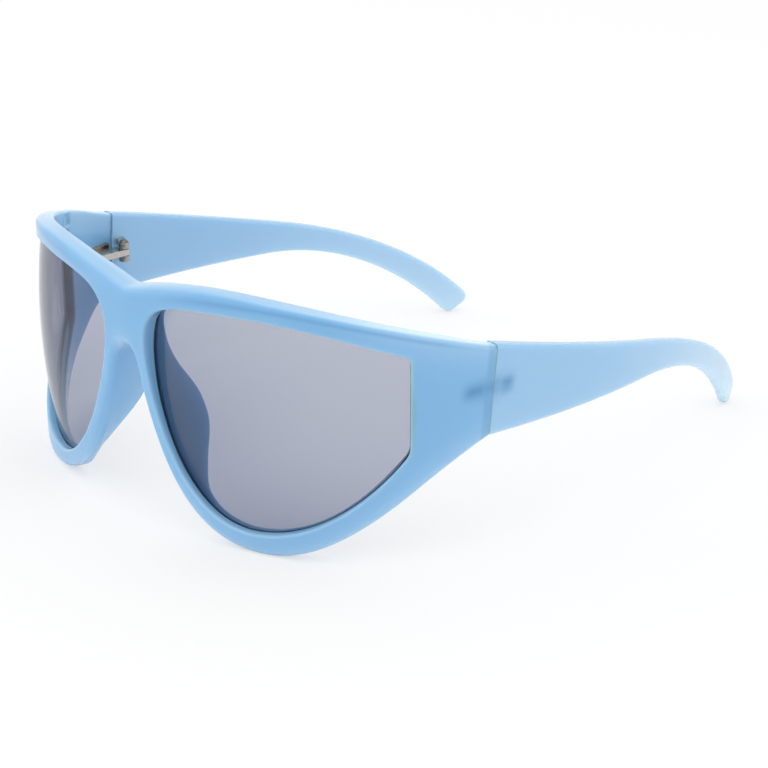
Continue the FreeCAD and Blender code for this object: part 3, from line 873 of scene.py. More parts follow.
    def grid(self) -> FrontGrid:
        """Columns filled with points, close together near the opening and the edge, with their distances.

        Returns:
            The grid of the left half.
        """
        opening, edge, on_middle = self.columns()
        outline = self.kit.outline
        recess = self.kit.sheet.depth(self.kit.wall, outline, opening[:, 0], opening[:, 1])
        width = np.linalg.norm(edge - opening, axis=1)[:, None]
        near = self.lip_radius(recess)[:, None] * np.array(self.near_steps)
        far = self.rim_radius(edge[:, :1], edge[:, 1:]) * np.array(self.far_steps)
        first, last = near[:, -1:], width - far[:, :1]
        mids = first + np.linspace(0.0, 1.0, self.columns_between + 2)[1:-1] * (last - first)
        across = np.concatenate([near, mids, width - far], axis=1) / width
        flat = opening[:, None] + across[..., None] * (edge - opening)[:, None]
        e = outline.edge()
        top, low = (np.linspace(0.0, 1.0, count) for count in self.edge_counts)
        top_runs = np.concatenate([e["bridge"], e["brow"][1:]])
        low_runs = np.concatenate([e["rim_outer"], e["rim_inner"][1:], e["arch"][1:]])
        return FrontGrid(
            flat, opening, edge, recess,
            to_top=gap_to(flat, along(top_runs, top)),
            to_low=gap_to(flat, along(low_runs, low)),
            to_seam=outline.seam_s + outline.seam_back(flat[..., 1]) - flat[..., 0],
            to_opening=gap_to(flat, np.concatenate([opening, opening[:1]])),
            on_middle=on_middle,
        )

    def wing(self, s: Array, z: Array) -> tuple[Array, Array]:
        """Extra depth of the nose wings and of the bridge, and how far their walls spread.

        The back seen from the side follows two cubic curves of height; where it lies behind the plain wall, a
        soft maximum takes it.

        Args:
            s: Lengths along the wall.
            z: Heights.
        Returns:
            Extra depths, and shares of the wing's spread.
        """
        wall, top = self.kit.wall, self.kit.outline.brow_top
        deep = (self.wing_depth, self.wing_at)
        upper = cubic((self.bridge_depth, top), -90.0, deep, -90.0, self.wing_top_pull)
        heel = (wall.thickness, self.wing_low)
        lower = cubic(deep, -90.0, heel, -90.0 - self.wing_heel, self.wing_low_pull)
        profile = np.concatenate([upper, lower[1:]])[::-1]
        back = np.interp(z, profile[:, 1], profile[:, 0], left=wall.thickness)
        extra = back - wall.outer(s)[..., 1] - wall.thickness
        spread = fading(s, *self.spread_s) * fading(z, *self.spread_z)
        return (extra + np.sqrt(extra**2 + self.wing_blend**2)) / 2, spread

    def depths(self, grid: FrontGrid) -> tuple[Array, Array, Array]:
        """Depths of the outer and of the inner face over the grid, and the spread of the nose wing.

        Both faces fall off at their edges by a quarter circle of the distance to them, and the small recess
        is a soft oblong step in the inner face.

        Args:
            grid: Grid of the half.
        Returns:
            Both depths, and shares of the spread.
        """
        outline = self.kit.outline
        s, z = grid.flat[..., 0], grid.flat[..., 1]
        seam = rounding(grid.to_seam, self.seam_round)
        back_lip = between(self.back_lip, eased(grid.opening[:, :1], *self.back_lip_s))
        front = np.maximum.reduce([
            rounding(grid.to_top, self.brow_radius(s)), rounding(grid.to_low, self.rim_radius(s, z)), seam,
            rounding(grid.to_opening, self.lip_radius(grid.recess)[:, None]),
        ])
        thick = self.kit.wall.inner(s)
        low_round = between(self.back_round, eased(s, *self.back_round_s))
        low_round = np.minimum(low_round, thick - self.rim_radius(s, z) - self.back_least)
        rise = np.maximum.reduce([
            rounding(grid.to_top, self.back_round[0]), rounding(grid.to_low, low_round), seam,
            rounding(grid.to_opening, back_lip),
        ])
        middle, low = outline.side_s - self.tab_ahead, outline.side_top + self.tab_above
        tab = plateau(s, middle - self.tab_length / 2, middle + self.tab_length / 2, self.tab_soft)
        tab = tab * plateau(z, low, low + self.tab_height, self.tab_soft)
        extra, spread = self.wing(s, z)
        return front, thick + extra - rise - self.tab_depth * tab, spread

    def half(self) -> Shell:
        """Left half of the front as a ring of closed sections, open on the middle plane.

        A section runs over the outer face from the opening to the edge, down the edge's wall, back over the
        inner face and up the opening's wall with its lens groove.

        Returns:
            The surface.
        """
        grid = self.grid()
        wall = self.kit.wall
        front, back, spread = self.depths(grid)
        s, z = grid.flat[..., 0], grid.flat[..., 1]
        side = front[:, -1:] + np.array(self.wall_steps) * (back[:, -1:] - front[:, -1:])
        lines, line_depth = self.groove(grid, front[:, :1], back[:, :1])
        points = np.concatenate([
            wall.at(s, z, front, spread),
            wall.at(grid.edge[:, :1], grid.edge[:, 1:], side, spread[:, -1:]),
            wall.at(s, z, back, spread)[:, ::-1],
            wall.at(lines[..., 0], lines[..., 1], line_depth, spread[:, :1]),
        ], axis=1)
        rows, count = points.shape[:2]
        quads = grid_quads(rows, count, True, True).reshape(rows, count, 4)
        keep = np.ones((rows, count), bool)
        keep[grid.on_middle, s.shape[1] - 1 : s.shape[1] + len(self.wall_steps)] = False
        return Shell(points.reshape(-1, 3), [quads[keep]], self.masks(grid, lines.shape[1]))

    def groove(self, grid: FrontGrid, front: Array, back: Array) -> tuple[Array, Array]:
        """Opening's wall from the back to the front, with the groove for the lens cut into it.

        Args:
            grid: Grid of the half.
            front: Depth of the outer face at the opening.
            back: Depth of the inner face at the opening.
        Returns:
            Flat points and depths of the wall's lines.
        """
        sheet, place = self.kit.sheet, (self.kit.wall, self.kit.outline)
        out = grid.edge - grid.opening
        way = out / np.linalg.norm(out, axis=1, keepdims=True)
        c, lap = self.groove_corner, sheet.lap
        into = np.array([0.0, 0.0, 0.0, c, lap - c, lap, lap, lap, lap, lap - c, c, 0.0, 0.0, 0.0])
        flat = grid.opening[:, None] + into[:, None] * way[:, None]
        outer = sheet.depth(*place, flat[..., 0], flat[..., 1]) - sheet.clearance
        inner = sheet.depth(*place, flat[..., 0], flat[..., 1], sheet.thickness) + sheet.clearance
        outer, inner = np.maximum(outer, front + 2 * c), np.minimum(inner, back - 4 * c)
        depth = np.concatenate([
            (back + inner[:, :1]) / 2, inner[:, 1:2] + c, inner[:, 2:6], inner[:, 6:7] - c,
            outer[:, 7:8] + c, outer[:, 8:12], outer[:, 12:13] - c, (outer[:, 13:] + front) / 2,
        ], axis=1)
        return flat, depth

    def masks(self, grid: FrontGrid, lines: int) -> dict[Mask, Array]:
        """Values on the half's points, in the order of its sections.

        Args:
            grid: Grid of the half.
            lines: Number of lines on the opening's wall.
        Returns:
            The values by mask.
        """
        bare = np.zeros((len(grid.flat), lines))
        return {
            Mask.PALE: np.clip(np.concatenate([*self.pale(grid), bare], axis=1), 0.0, 1.0).ravel(),
            Mask.SHADE: np.concatenate([*self.shade(grid), bare], axis=1).ravel(),
            Mask.SEAT: np.concatenate(self.dark(grid), axis=1).ravel(),
        }

    def pale(self, grid: FrontGrid) -> tuple[Array, Array, Array]:
        """Painted light on the outer face, the edge's wall and the inner face.

        The top is painted paler as if lit from above; the rims' lower edges, the opening's lip, the edge's
        wall and the back of the nose wings as if light shone through thin plastic; and the arch's top gets a
        painted highlight.

        Args:
            grid: Grid of the half.
        Returns:
            The values of the three, in the order of the sections.
        """
        s, z = grid.flat[..., 0], grid.flat[..., 1]
        top = between(self.top_pale, eased(s, *self.top_pale_s))
        top = top * fading(grid.to_top / self.brow_radius(s), *self.top_pale_share)
        top = top + self.end_glow.at(grid.to_top) * eased(s, *self.end_glow_s)
        low = self.low_glow.at(grid.to_low) * between(self.low_glow_share, eased(s, *self.low_glow_s))
        low = low + self.arch_glow.at(grid.to_low) * self.at_arch(s, z)
        deep = np.array(self.wall_steps) ** 2 * fading(grid.edge[:, :1], *self.wing_pale_s)
        edge = (top + self.wall_pale * low)[:, -1:] + self.wing_pale * deep
        return top + low + self.lip_glow.at(grid.to_opening), edge, (top + low)[:, ::-1]

    def shade(self, grid: FrontGrid) -> tuple[Array, Array, Array]:
        """Shade of the outer face, the edge's wall and the inner face.

        The sunk hinge shoe, a haze round it and a strip before the seam are darker where what lies in the
        plastic shows through; a line under the top is a painted dark reflection, and the seam's end face and
        the inside of the end piece, most of all below, get painted shade.

        Args:
            grid: Grid of the half.
        Returns:
            The values of the three, in the order of the sections.
        """
        s, z = grid.flat[..., 0], grid.flat[..., 1]
        high = z - self.kit.hinge.z
        last, first = self.kit.hinge.front_shoe
        shoe = plateau(grid.to_seam, self.shoe_ends[0] - first, self.shoe_ends[1] - last, self.shoe_blur)
        # Painted dark reflection in the rounding under the brow's top.
        line = self.top_line.at(grid.to_top / self.brow_radius(s)) * eased(s, *self.top_line_start_s)
        line = line * between((1.0, self.top_line_end), eased(s, *self.top_line_end_s))
        outside = np.maximum.reduce([
            shoe * self.shoe_high.at(high),
            self.haze_long.at(grid.to_seam) * self.haze_high.at(high),
            self.strip.at(grid.to_seam), line,
        ])
        # Painted shade on the inside of the end piece, most of all below.
        inside = between(self.inner_shade, eased(z, *self.inner_shade_z)) * eased(s, *self.inner_shade_s)
        # Painted shade on the seam's end face, in its gap.
        end = self.seam_shade * fading(grid.to_seam[:, -1:], *self.seam_reach)
        return outside, np.repeat(end, len(self.wall_steps), axis=1), inside[:, ::-1]

    def dark(self, grid: FrontGrid) -> tuple[Array, Array, Array]:
        """Painted shade on the outer face with the edge's wall, on the inner face and on the opening's wall.

        The lens seat gets painted shade at its front, at the opening's side at its rear and a little way on
        to the inner face, and it fades out along the top.

        Args:
            grid: Grid of the half.
        Returns:
            The values of the three, in the order of the sections.
        """
        s, z = grid.opening[:, :1], grid.opening[:, 1:]
        aside, below = self.kit.outline.at_side(s), self.kit.outline.below_top
        # Painted shade in the lens seat and on the inner face behind it.
        seat = (1 - aside) * np.array(self.seat_round) + aside * np.array(self.seat_side)
        behind = self.behind_shade * eased(s, *self.behind_s) * fading(grid.to_opening, *self.behind_reach)
        behind = behind * below(grid.flat[..., 1])
        plain = np.zeros((len(behind), behind.shape[1] + len(self.wall_steps)))
        return plain, behind[:, ::-1], seat * below(z)

    def build(self, material: bpy.types.Material) -> bpy.types.Object:
        """Makes the whole front from its left half and the mirror of it."""
        half = self.half()
        return self.kit.piece("front_frame", half.joined(half.mirrored()), material, "front", "frame_plastic")


@dataclass
class Lens:
    """Smoke lens: both faces of the bowed sheet and the edge between them, with painted shade on the edge."""

    kit: Kit
    around: int = 300
    rings: int = 44
    edge_round: float = 0.12
    # Painted shade on the lens edge, most at the opening's side.
    edge_shade: Pair = (0.25, 1.0)

    def shell(self) -> Shell:
        """Left lens on a polar grid of its flat outline.

        A point lies at centre + share * (outline - centre), at the depth of the sheet's outer face, or of its
        inner face on the way back; the shares are crowded at the edge, which is rounded.

        Returns:
            The surface.
        """
        sheet, place = self.kit.sheet, (self.kit.wall, self.kit.outline)
        ring = self.kit.outline.lens_ring(sheet.lap - sheet.clearance, self.around)
        centre = ring.mean(axis=0)
        reach = np.linalg.norm(ring - centre, axis=1)[:, None]
        inside = np.sin(np.linspace(0.0, math.pi / 2, self.rings))[1:-1] * (1 - self.edge_round / reach.min())
        turn = np.linspace(0.0, math.pi / 2, ARC)
        rim = 1 - self.edge_round * (1 - np.sin(turn)) / reach
        shares = np.concatenate([np.broadcast_to(inside, (len(ring), len(inside))), rim], axis=1)
        bevel = np.concatenate([np.zeros(len(inside)), self.edge_round * (1 - np.cos(turn))])
        flat = centre + shares[..., None] * (ring - centre)[:, None]
        faces, poles = [], []
        for inward, lift in ((0.0, bevel), (sheet.thickness, -bevel)):
            depth = sheet.depth(*place, flat[..., 0], flat[..., 1], inward) + lift
            faces.append(self.kit.wall.at(flat[..., 0], flat[..., 1], depth))
            poles.append(self.kit.wall.at(*centre, sheet.depth(*place, *centre, inward)))
        points = np.concatenate([faces[0], faces[1][:, ::-1]], axis=1)
        rows, count = points.shape[:2]
        first = np.arange(rows) * count
        caps = [fan(first, rows * count), fan((first + count - 1)[::-1], rows * count + 1)]
        points = np.concatenate([points.reshape(-1, 3), np.stack(poles)])
        on_edge = np.concatenate([np.zeros(len(inside)), np.ones(2 * len(turn)), np.zeros(len(inside))])
        outline = self.kit.outline
        # Painted shade on the lens edge, most at the opening's side, fading out along the top.
        dark = between(self.edge_shade, outline.at_side(ring[:, :1]))
        dark = dark * outline.below_top(ring[:, 1:]) * on_edge
        return Shell(points, [grid_quads(rows, count, True), *caps], {Mask.SEAT: np.append(dark, [0.0, 0.0])})

    def build(self, material: bpy.types.Material) -> list[bpy.types.Object]:
        """Makes both lenses."""
        return self.kit.pair("lens", self.shell(), material, "smoke_lens", "front")


@dataclass
class Temple:
    """Plastic temple: straight at the seam, bowed inward, with a drooping hook and a rounded tip."""

    kit: Kit
    bow_radius: float = 230.0
    thick: float = 4.2
    tip_thick: float = 2.6
    rise: float = 0.2
    top_slope: float = math.radians(14.5)
    top_straight: float = 61.5
    under_slope: float = math.radians(2.2)
    under_straight: float = 56.0
    under_radius: float = 77.0
    tip_drop: float = 4.1
    tip_width: float = 8.0
    tip_round: float = 2.6
    edge_round: float = 1.1
    seam_round: float = 0.06
    seam_gap: float = 0.05
    taper_length: float = 135.0
    drawn: int = 200
    sections: int = 150
    end_sections: Pair = (0.5, 0.4)
    seam_sections: int = 4
    tip_sections: int = 14
    corner_most: float = 0.96
    # Painted light: paler towards the thin hook, glowing along the underside and at the tip, a little less on
    # the inside.
    pale: Pair = (0.25, 0.6)
    pale_u: Pair = (20.0, 120.0)
    pale_inside: float = 0.9
    low_glow: Glow = Glow(0.2, 2.0)
    tip_glow: Glow = Glow(0.3, 7.0)
    shoe_high: Band = Band(1.0, -1.8, 1.5, 1.6)
    shoe_ends: Pair = (-0.8, -2.2)
    shoe_blur: float = 1.6
    haze_high: Band = Band(1.0, -2.0, 2.0, 2.5)
    haze_long: Band = Band(0.8, -9.0, 3.0, 4.0)
    # Painted shade in the seam's gap.
    seam_shade: float = 0.5
    seam_reach: Pair = (0.03, 0.16)

    def side_lines(self) -> tuple[Array, Array]:
        """Underside and top of the temple seen from the side, as (u, z) points matched by share.

        The underside is a straight and an arc that comes down to the tip; the top is a straight and a Hermite
        curve on to the tip's upper corner, square to the underside.

        Returns:
            The underside and the top.
        """
        outline = self.kit.outline
        start = outline.seam_bottom - self.under_straight * math.tan(self.under_slope)
        hook = math.acos(math.cos(self.under_slope) - (start + self.tip_drop) / self.under_radius)
        angle = np.linspace(self.under_slope, hook, self.drawn)
        bend_u = self.under_straight + self.under_radius * (np.sin(angle) - math.sin(self.under_slope))
        bend_z = start - self.under_radius * (math.cos(self.under_slope) - np.cos(angle))
        low_bend = np.stack([bend_u, bend_z], axis=1)
        top_u = np.array([outline.seam_back(outline.seam_top), self.top_straight])
        top_z = outline.seam_top + self.rise - top_u * math.tan(self.top_slope)
        top_start, top_turn = np.stack([top_u, top_z], axis=1)
        low_u = outline.seam_back(outline.seam_bottom)
        low_start = np.array([low_u, outline.seam_bottom - low_u * math.tan(self.under_slope)])
        tip_top = low_bend[-1] + self.tip_width * np.array([math.sin(hook), math.cos(hook)])
        headings = -math.degrees(self.top_slope), -math.degrees(hook)
        top_bend = cubic(top_turn, headings[0], tip_top, headings[1], (1 / 3, 1 / 3), self.drawn)
        shares = np.linspace(0.0, 1.0, self.drawn)[:, None]
        low_line = low_start * (1 - shares) + low_bend[0] * shares
        top_line = top_start * (1 - shares) + top_turn * shares
        low = np.concatenate([along(low_line, shares[:-1, 0]), along(low_bend, shares[:, 0])])
        return low, np.concatenate([along(top_line, shares[:-1, 0]), along(top_bend, shares[:, 0])])

    def shell(self) -> Shell:
        """Left temple as rounded sections from the seam to the tip.

        A section is a rectangle with rounded corners between the underside and the top; it lies on the plan's
        arc, x = -R (1 - cos a), y = R sin a with sin a = u / R, and its thickness tapers. At both ends the
        sections shrink by a quarter circle of the distance to the end, and a fan closes them.

        Returns:
            The surface.
        """
        low_line, top_line = self.side_lines()
        length = np.linalg.norm(np.diff((low_line + top_line) / 2, axis=0), axis=1).sum()
        start = self.seam_round * (1 - np.cos(np.linspace(0.0, math.pi / 2, self.seam_sections)))
        finish = self.tip_round * (1 - np.sin(np.linspace(0.0, math.pi / 2, self.tip_sections)))
        first, last = self.end_sections[0], length - self.tip_round - self.end_sections[1]
        body = np.linspace(first, last, self.sections)
        distance = np.concatenate([start, [2 * self.seam_round], body, length - finish])
        low, top = along(low_line, distance / length), along(top_line, distance / length)
        to_tip = length - distance
        high = np.linalg.norm(top - low, axis=1) / 2
        thick = self.thick + (self.tip_thick - self.thick) * np.clip(low[:, 0] / self.taper_length, 0.0, 1.0)
        tip_edge = np.minimum(self.edge_round, thick / 3)
        shrink_seam = rounding(distance, self.seam_round)
        half_high = high - shrink_seam - rounding(to_tip, self.tip_round)
        half_thick = thick / 2 - shrink_seam - rounding(to_tip, tip_edge)
        up, out = rounded_ring(half_high, half_thick, np.minimum(tip_edge, self.corner_most * half_thick))
        way = (top - low) / (2 * high)[:, None]
        side = ((low + top) / 2)[:, None] + up[..., None] * way[:, None]
        points = self.placed(side, thick[:, None] / 2 - out)
        shell = closed(points, points[0].mean(axis=0), points[-1].mean(axis=0))
        shell.masks = self.masks(side, out, high[:, None] + up, distance[:, None], to_tip[:, None])
        return shell

    def placed(self, side: Array, depth: Array) -> Array:
        """Points in the pair's own axes, from places in the side view and depths below the outside.

        Args:
            side: Places in the side view.
            depth: Depths below the outside.
        Returns:
            The points.
        """
        angle = np.arcsin(np.clip(side[..., 0] / self.bow_radius, -1.0, 1.0))
        radius = self.bow_radius - depth
        x, y = radius * np.cos(angle) - self.bow_radius, radius * np.sin(angle) + self.seam_gap
        return self.kit.placement.from_seam(np.stack([x, y, side[..., 1]], axis=-1))

    def masks(
        self, side: Array, out: Array, to_low: Array, to_seam: Array, to_tip: Array
    ) -> dict[Mask, Array]:
        """Values on the points: painted light where the temple is thin and at its underside and tip, shade
        over the sunk shoe, and painted shade in the seam.

        Args:
            side: Places in the side view.
            out: Places across the thickness, outward from the middle.
            to_low: Distances to the underside.
            to_seam: Distances to the seam.
            to_tip: Distances to the tip.
        Returns:
            The values by mask, each with those of the two end points.
        """
        u, high = side[..., 0], side[..., 1] - self.kit.hinge.z
        # Painted light: paler towards the thin hook, glowing at the underside and the tip, less on the
        # inside.
        pale = between(self.pale, eased(u, *self.pale_u))
        pale = pale + self.low_glow.at(to_low) + self.tip_glow.at(to_tip)
        pale = pale * np.where(out < 0.0, self.pale_inside, 1.0)
        first, last = self.kit.hinge.temple_shoe
        shoe = plateau(u, first + self.shoe_ends[0], last + self.shoe_ends[1], self.shoe_blur)
        shade = np.maximum.reduce([
            shoe * self.shoe_high.at(high),
            self.haze_long.at(u) * self.haze_high.at(high),
            # Painted shade in the seam's gap.
            np.broadcast_to(self.seam_shade * fading(to_seam, *self.seam_reach), u.shape),
        ])
        return {
            Mask.PALE: np.append(np.clip(pale, 0.0, 1.0), [self.pale[0], 1.0]),
            Mask.SHADE: np.append(shade * (out > 0.0), [0.0, 0.0]),
        }

    def build(self, material: bpy.types.Material) -> list[bpy.types.Object]:
        """Makes both temples."""
        return self.kit.pair("temple", self.shell(), material, "frame_plastic")


@dataclass
class HingeMetal:
    """Metal of a hinge: a leaf in the front, a leaf in the temple and the screw through both."""

    kit: Kit
    around: int = 96
    block_rows: int = 16
    dome_rings: int = 34
    dome_start: float = 0.03
    temple_thick: float = 4.2
    arm_corner: float = 0.3
    arm_slope: float = 1.2
    # Painted shade and painted dark reflections on the metal: dark shoes and screw, and the arm's and webs'
    # sides darker than their tops.
    shoe_painted_shade: float = 0.75
    arm_painted_shade: Pair = (0.0, 0.3)
    web_painted_shade: Pair = (0.1, 0.5)
    screw_painted_shade: float = 0.8

    def block(self, low: Array, high: Array, edge: float) -> Shell:
        """Block with rounded edges: a smaller box's corner, by a direction's signs, plus edge times it.

        Args:
            low: Its lowest corner.
            high: Its highest corner.
            edge: Radius of its edges.
        Returns:
            The closed surface.
        """
        step = math.pi / self.block_rows
        lat = (np.arange(self.block_rows) + 0.5) * step - math.pi / 2
        lon = (np.arange(2 * self.block_rows) + 0.5) * step
        lat, lon = np.meshgrid(lat, lon, indexing="ij")
        way = np.stack([np.cos(lat) * np.cos(lon), np.cos(lat) * np.sin(lon), np.sin(lat)], axis=-1)
        middle, half = (low + high) / 2, (high - low) / 2
        points = middle + np.sign(way) * (half - edge) + edge * way
        return closed(points, middle * (1, 1, 0) + (0, 0, low[2]), middle * (1, 1, 0) + (0, 0, high[2]))

    def tinted(self, shell: Shell, painted_shade: float) -> Shell:
        """The same surface with even painted shade on its points."""
        return Shell(shell.points, shell.faces, {Mask.PAINTED_SHADE: np.full(len(shell.points), painted_shade)})

    def slab(self, discs: Array, low: float, high: float, painted_shade: Pair) -> Shell:
        """Upright slab over the hull of discs: at each heading, the point of the disc that reaches furthest.

        Args:
            discs: Rows of (x, y, radius).
            low: Height of its underside.
            high: Height of its top.
            painted_shade: Painted shade of its top and underside, and of its side.
        Returns:
            The closed surface.
        """
        heading = np.linspace(0.0, 2 * math.pi, self.around, endpoint=False)
        way = np.stack([np.cos(heading), np.sin(heading)], axis=1)
        furthest = np.argmax(way @ discs[:, :2].T + discs[:, 2], axis=1)
        ring = discs[furthest, :2] + discs[furthest, 2:] * way
        edge, turn = self.kit.hinge.edge, np.linspace(0.0, math.pi / 2, ARC)
        inset = np.concatenate([[2 * edge], edge * (1 - np.sin(turn)), edge * (1 - np.cos(turn)), [2 * edge]])
        rise = edge * (1 - np.cos(turn))
        level = np.concatenate([[low], low + rise, high - rise[::-1], [high]])
        flat = ring[None] - inset[:, None, None] * way
        points = np.concatenate([flat, np.broadcast_to(level[:, None, None], (*flat.shape[:2], 1))], axis=-1)
        middle = ring.mean(axis=0)
        shell = closed(points, np.array([*middle, low]), np.array([*middle, high]))
        # Painted shade: the side darker than the top and the underside.
        share = np.append(np.repeat(np.clip(1 - inset / edge, 0.0, 1.0), len(ring)), [0.0, 0.0])
        shell.masks[Mask.PAINTED_SHADE] = between(painted_shade, share)
        return shell

    def shoe(self, face: float, proud: float, span: Pair) -> Shell:
        """Block of a leaf that is sunk in the plastic, a little proud of its inner face.

        Args:
            face: Thickness of the plastic.
            proud: How far it stands proud.
            span: Where it starts and ends along y.
        Returns:
            The closed surface.
        """
        h = self.kit.hinge
        low = np.array([-face - proud, span[0], h.z - h.shoe_height / 2])
        high = np.array([-face + h.shoe_sink, span[1], h.z + h.shoe_height / 2])
        return self.tinted(self.block(low, high, 2 * h.edge), self.shoe_painted_shade)

    def front_leaf(self) -> Shell:
        """Shoe in the end piece, and an arm that ends in the middle knuckle.

        Returns:
            Both as one surface.
        """
        h, face = self.kit.hinge, self.kit.wall.end_thickness
        inner = h.axis_x - h.knuckle_radius + self.arm_corner
        outer = -face - h.front_proud / 2 - self.arm_corner
        start = h.axis_y - h.arm_length + self.arm_corner
        discs = np.array([
            (h.axis_x, h.axis_y, h.knuckle_radius),
            (outer, h.front_shoe[1] - self.arm_corner, self.arm_corner),
            (inner + self.arm_slope, start, self.arm_corner),
            (outer, start, self.arm_corner),
        ])
        arm = self.slab(discs, h.z - h.knuckle_height / 2, h.z + h.knuckle_height / 2, self.arm_painted_shade)
        return self.shoe(face, h.front_proud, h.front_shoe).joined(arm)

    def temple_leaf(self) -> Shell:
        """Shoe in the temple, and two webs that end in the outer knuckles.

        Returns:
            All three as one surface.
        """
        h = self.kit.hinge
        outer = -self.temple_thick - h.temple_proud / 2 - self.arm_corner
        discs = np.array([
            (h.axis_x, h.axis_y, h.knuckle_radius),
            (outer, h.axis_y + h.knuckle_radius, self.arm_corner),
            (outer, h.temple_shoe[0] + h.knuckle_radius, self.arm_corner),
        ])
        webs = []
        for level in (1, -1):
            middle = h.z + level * h.pitch
            low, high = middle - h.knuckle_height / 2, middle + h.knuckle_height / 2
            webs.append(self.slab(discs, low, high, self.web_painted_shade))
        return self.shoe(self.temple_thick, h.temple_proud, h.temple_shoe).joined(*webs)

    def screw(self) -> Shell:
        """Screw on the axis: rings whose radius and height follow a profile, with a slot across the dome.

        The dome falls as the square of the radius, and the slot is a flat-bottomed trough along y.

        Returns:
            The closed surface.
        """
        h = self.kit.hinge
        reach = h.pitch + h.knuckle_height / 2
        top, bottom = h.z + reach, h.z - reach
        dome = np.linspace(self.dome_start, 1.0, self.dome_rings) * h.head_radius
        dome_z = top + h.head_rim + (h.head_height - h.head_rim) * (1 - (dome / h.head_radius) ** 2)
        edge, bevel = h.head_edge, h.end_bevel
        tail = np.array([[h.head_radius, top + edge], [h.head_radius - edge, top], [h.screw_radius, top]])
        shank = np.array([[0.0, top - bevel], [0.0, bottom + bevel], [-bevel, bottom]])
        profile = np.concatenate([np.stack([dome, dome_z], axis=1), tail, shank + (h.screw_radius, 0.0)])
        angle = np.linspace(0.0, 2 * math.pi, 2 * self.around, endpoint=False)
        x, y = profile[:, :1] * np.cos(angle), profile[:, :1] * np.sin(angle)
        trough = fading(np.abs(x), h.slot / 2 - h.slot_soft, h.slot / 2 + h.slot_soft)
        floor = top + h.head_height / 2
        z = np.broadcast_to(profile[:, 1:], x.shape)
        z = np.where(z > floor, z + trough * (floor - z), z)
        points = np.stack([x + h.axis_x, y + h.axis_y, z], axis=-1)
        ends = [np.array([h.axis_x, h.axis_y, level]) for level in (bottom, floor)]
        return self.tinted(closed(points[::-1], *ends), self.screw_painted_shade)

    def build(self, material: bpy.types.Material) -> list[bpy.types.Object]:
        """Makes the metal of both hinges.

        Args:
            material: Material of them all.
        Returns:
            The six objects.
        """
        made = []
        for name, shell, body in (
            ("hinge_front_leaf", self.front_leaf(), "front"),
            ("hinge_temple_leaf", self.temple_leaf(), ""),
            ("hinge_screw", self.screw(), ""),
        ):
            left = Shell(self.kit.placement.from_seam(shell.points), shell.faces, shell.masks)
            made += self.kit.pair(name, left, material, "hinge_metal", body)
        return made


class Nodes:
    """Short ways to add nodes to a material or group and to join them."""

    def __init__(self, tree: bpy.types.NodeTree) -> None:
        """Starts on an emptied tree."""
        self.tree = tree
        tree.nodes.clear()

    def add(self, kind: str, **values: object) -> bpy.types.Node:
        """Adds a node; a value named in_X sets the input X, any other a property.

        Args:
            kind: Type of the node.
            values: Values by name.
        Returns:
            The node.
        """
        node = self.tree.nodes.new(kind)
        for key, value in values.items():
            if key.startswith("in_"):
                node.inputs[key[3:]].default_value = value
            else:
                setattr(node, key, value)
        return node

    def join(self, start: Socket, end: Socket) -> None:
        """Links an output to an input."""
        self.tree.links.new(start, end)

    def mask(self, mask: Mask) -> Socket:
        """Value of a mask on the points."""
        return self.add("ShaderNodeAttribute", attribute_name=mask.value).outputs["Fac"]

    def blend(self, factor: Socket, first: bpy.types.Node, second: bpy.types.Node) -> bpy.types.Node:
        """Shader mixed from two by a factor.

        Args:
            factor: Share of the second.
            first: First shader.
            second: Second shader.
        Returns:
            The node.
        """
        node = self.add("ShaderNodeMixShader")
        for start, end in zip((factor, first.outputs[0], second.outputs[0]), node.inputs):
            self.join(start, end)
        return node

    def mix(self, factor: Value, first: Tint, second: Tint) -> Socket:
        """Colour mixed from two by a factor.

        Args:
            factor: Share of the second, a number or a socket.
            first: First colour, or its socket.
            second: Second colour, or its socket.
        Returns:
            The mixed colour.
        """
        node = self.add("ShaderNodeMix", data_type="RGBA")
        named = {s.identifier: s for s in node.inputs}
        for key, value in (("Factor_Float", factor), ("A_Color", first), ("B_Color", second)):
            if isinstance(value, Socket):
                self.join(value, named[key])
            else:
                named[key].default_value = value if key == "Factor_Float" else (*value, 1.0)
        return next(s for s in node.outputs if s.identifier == "Result_Color")

    def maths(self, operation: str, first: Value, second: Value) -> Socket:
        """Result of a sum on two values, each a number or a socket.

        Args:
            operation: Kind of sum.
            first: First value.
            second: Second value.
        Returns:
            The result.
        """
        node = self.add("ShaderNodeMath", operation=operation)
        for slot, value in zip(node.inputs, (first, second)):
            if isinstance(value, Socket):
                self.join(value, slot)
            else:
                slot.default_value = value
        return node.outputs[0]


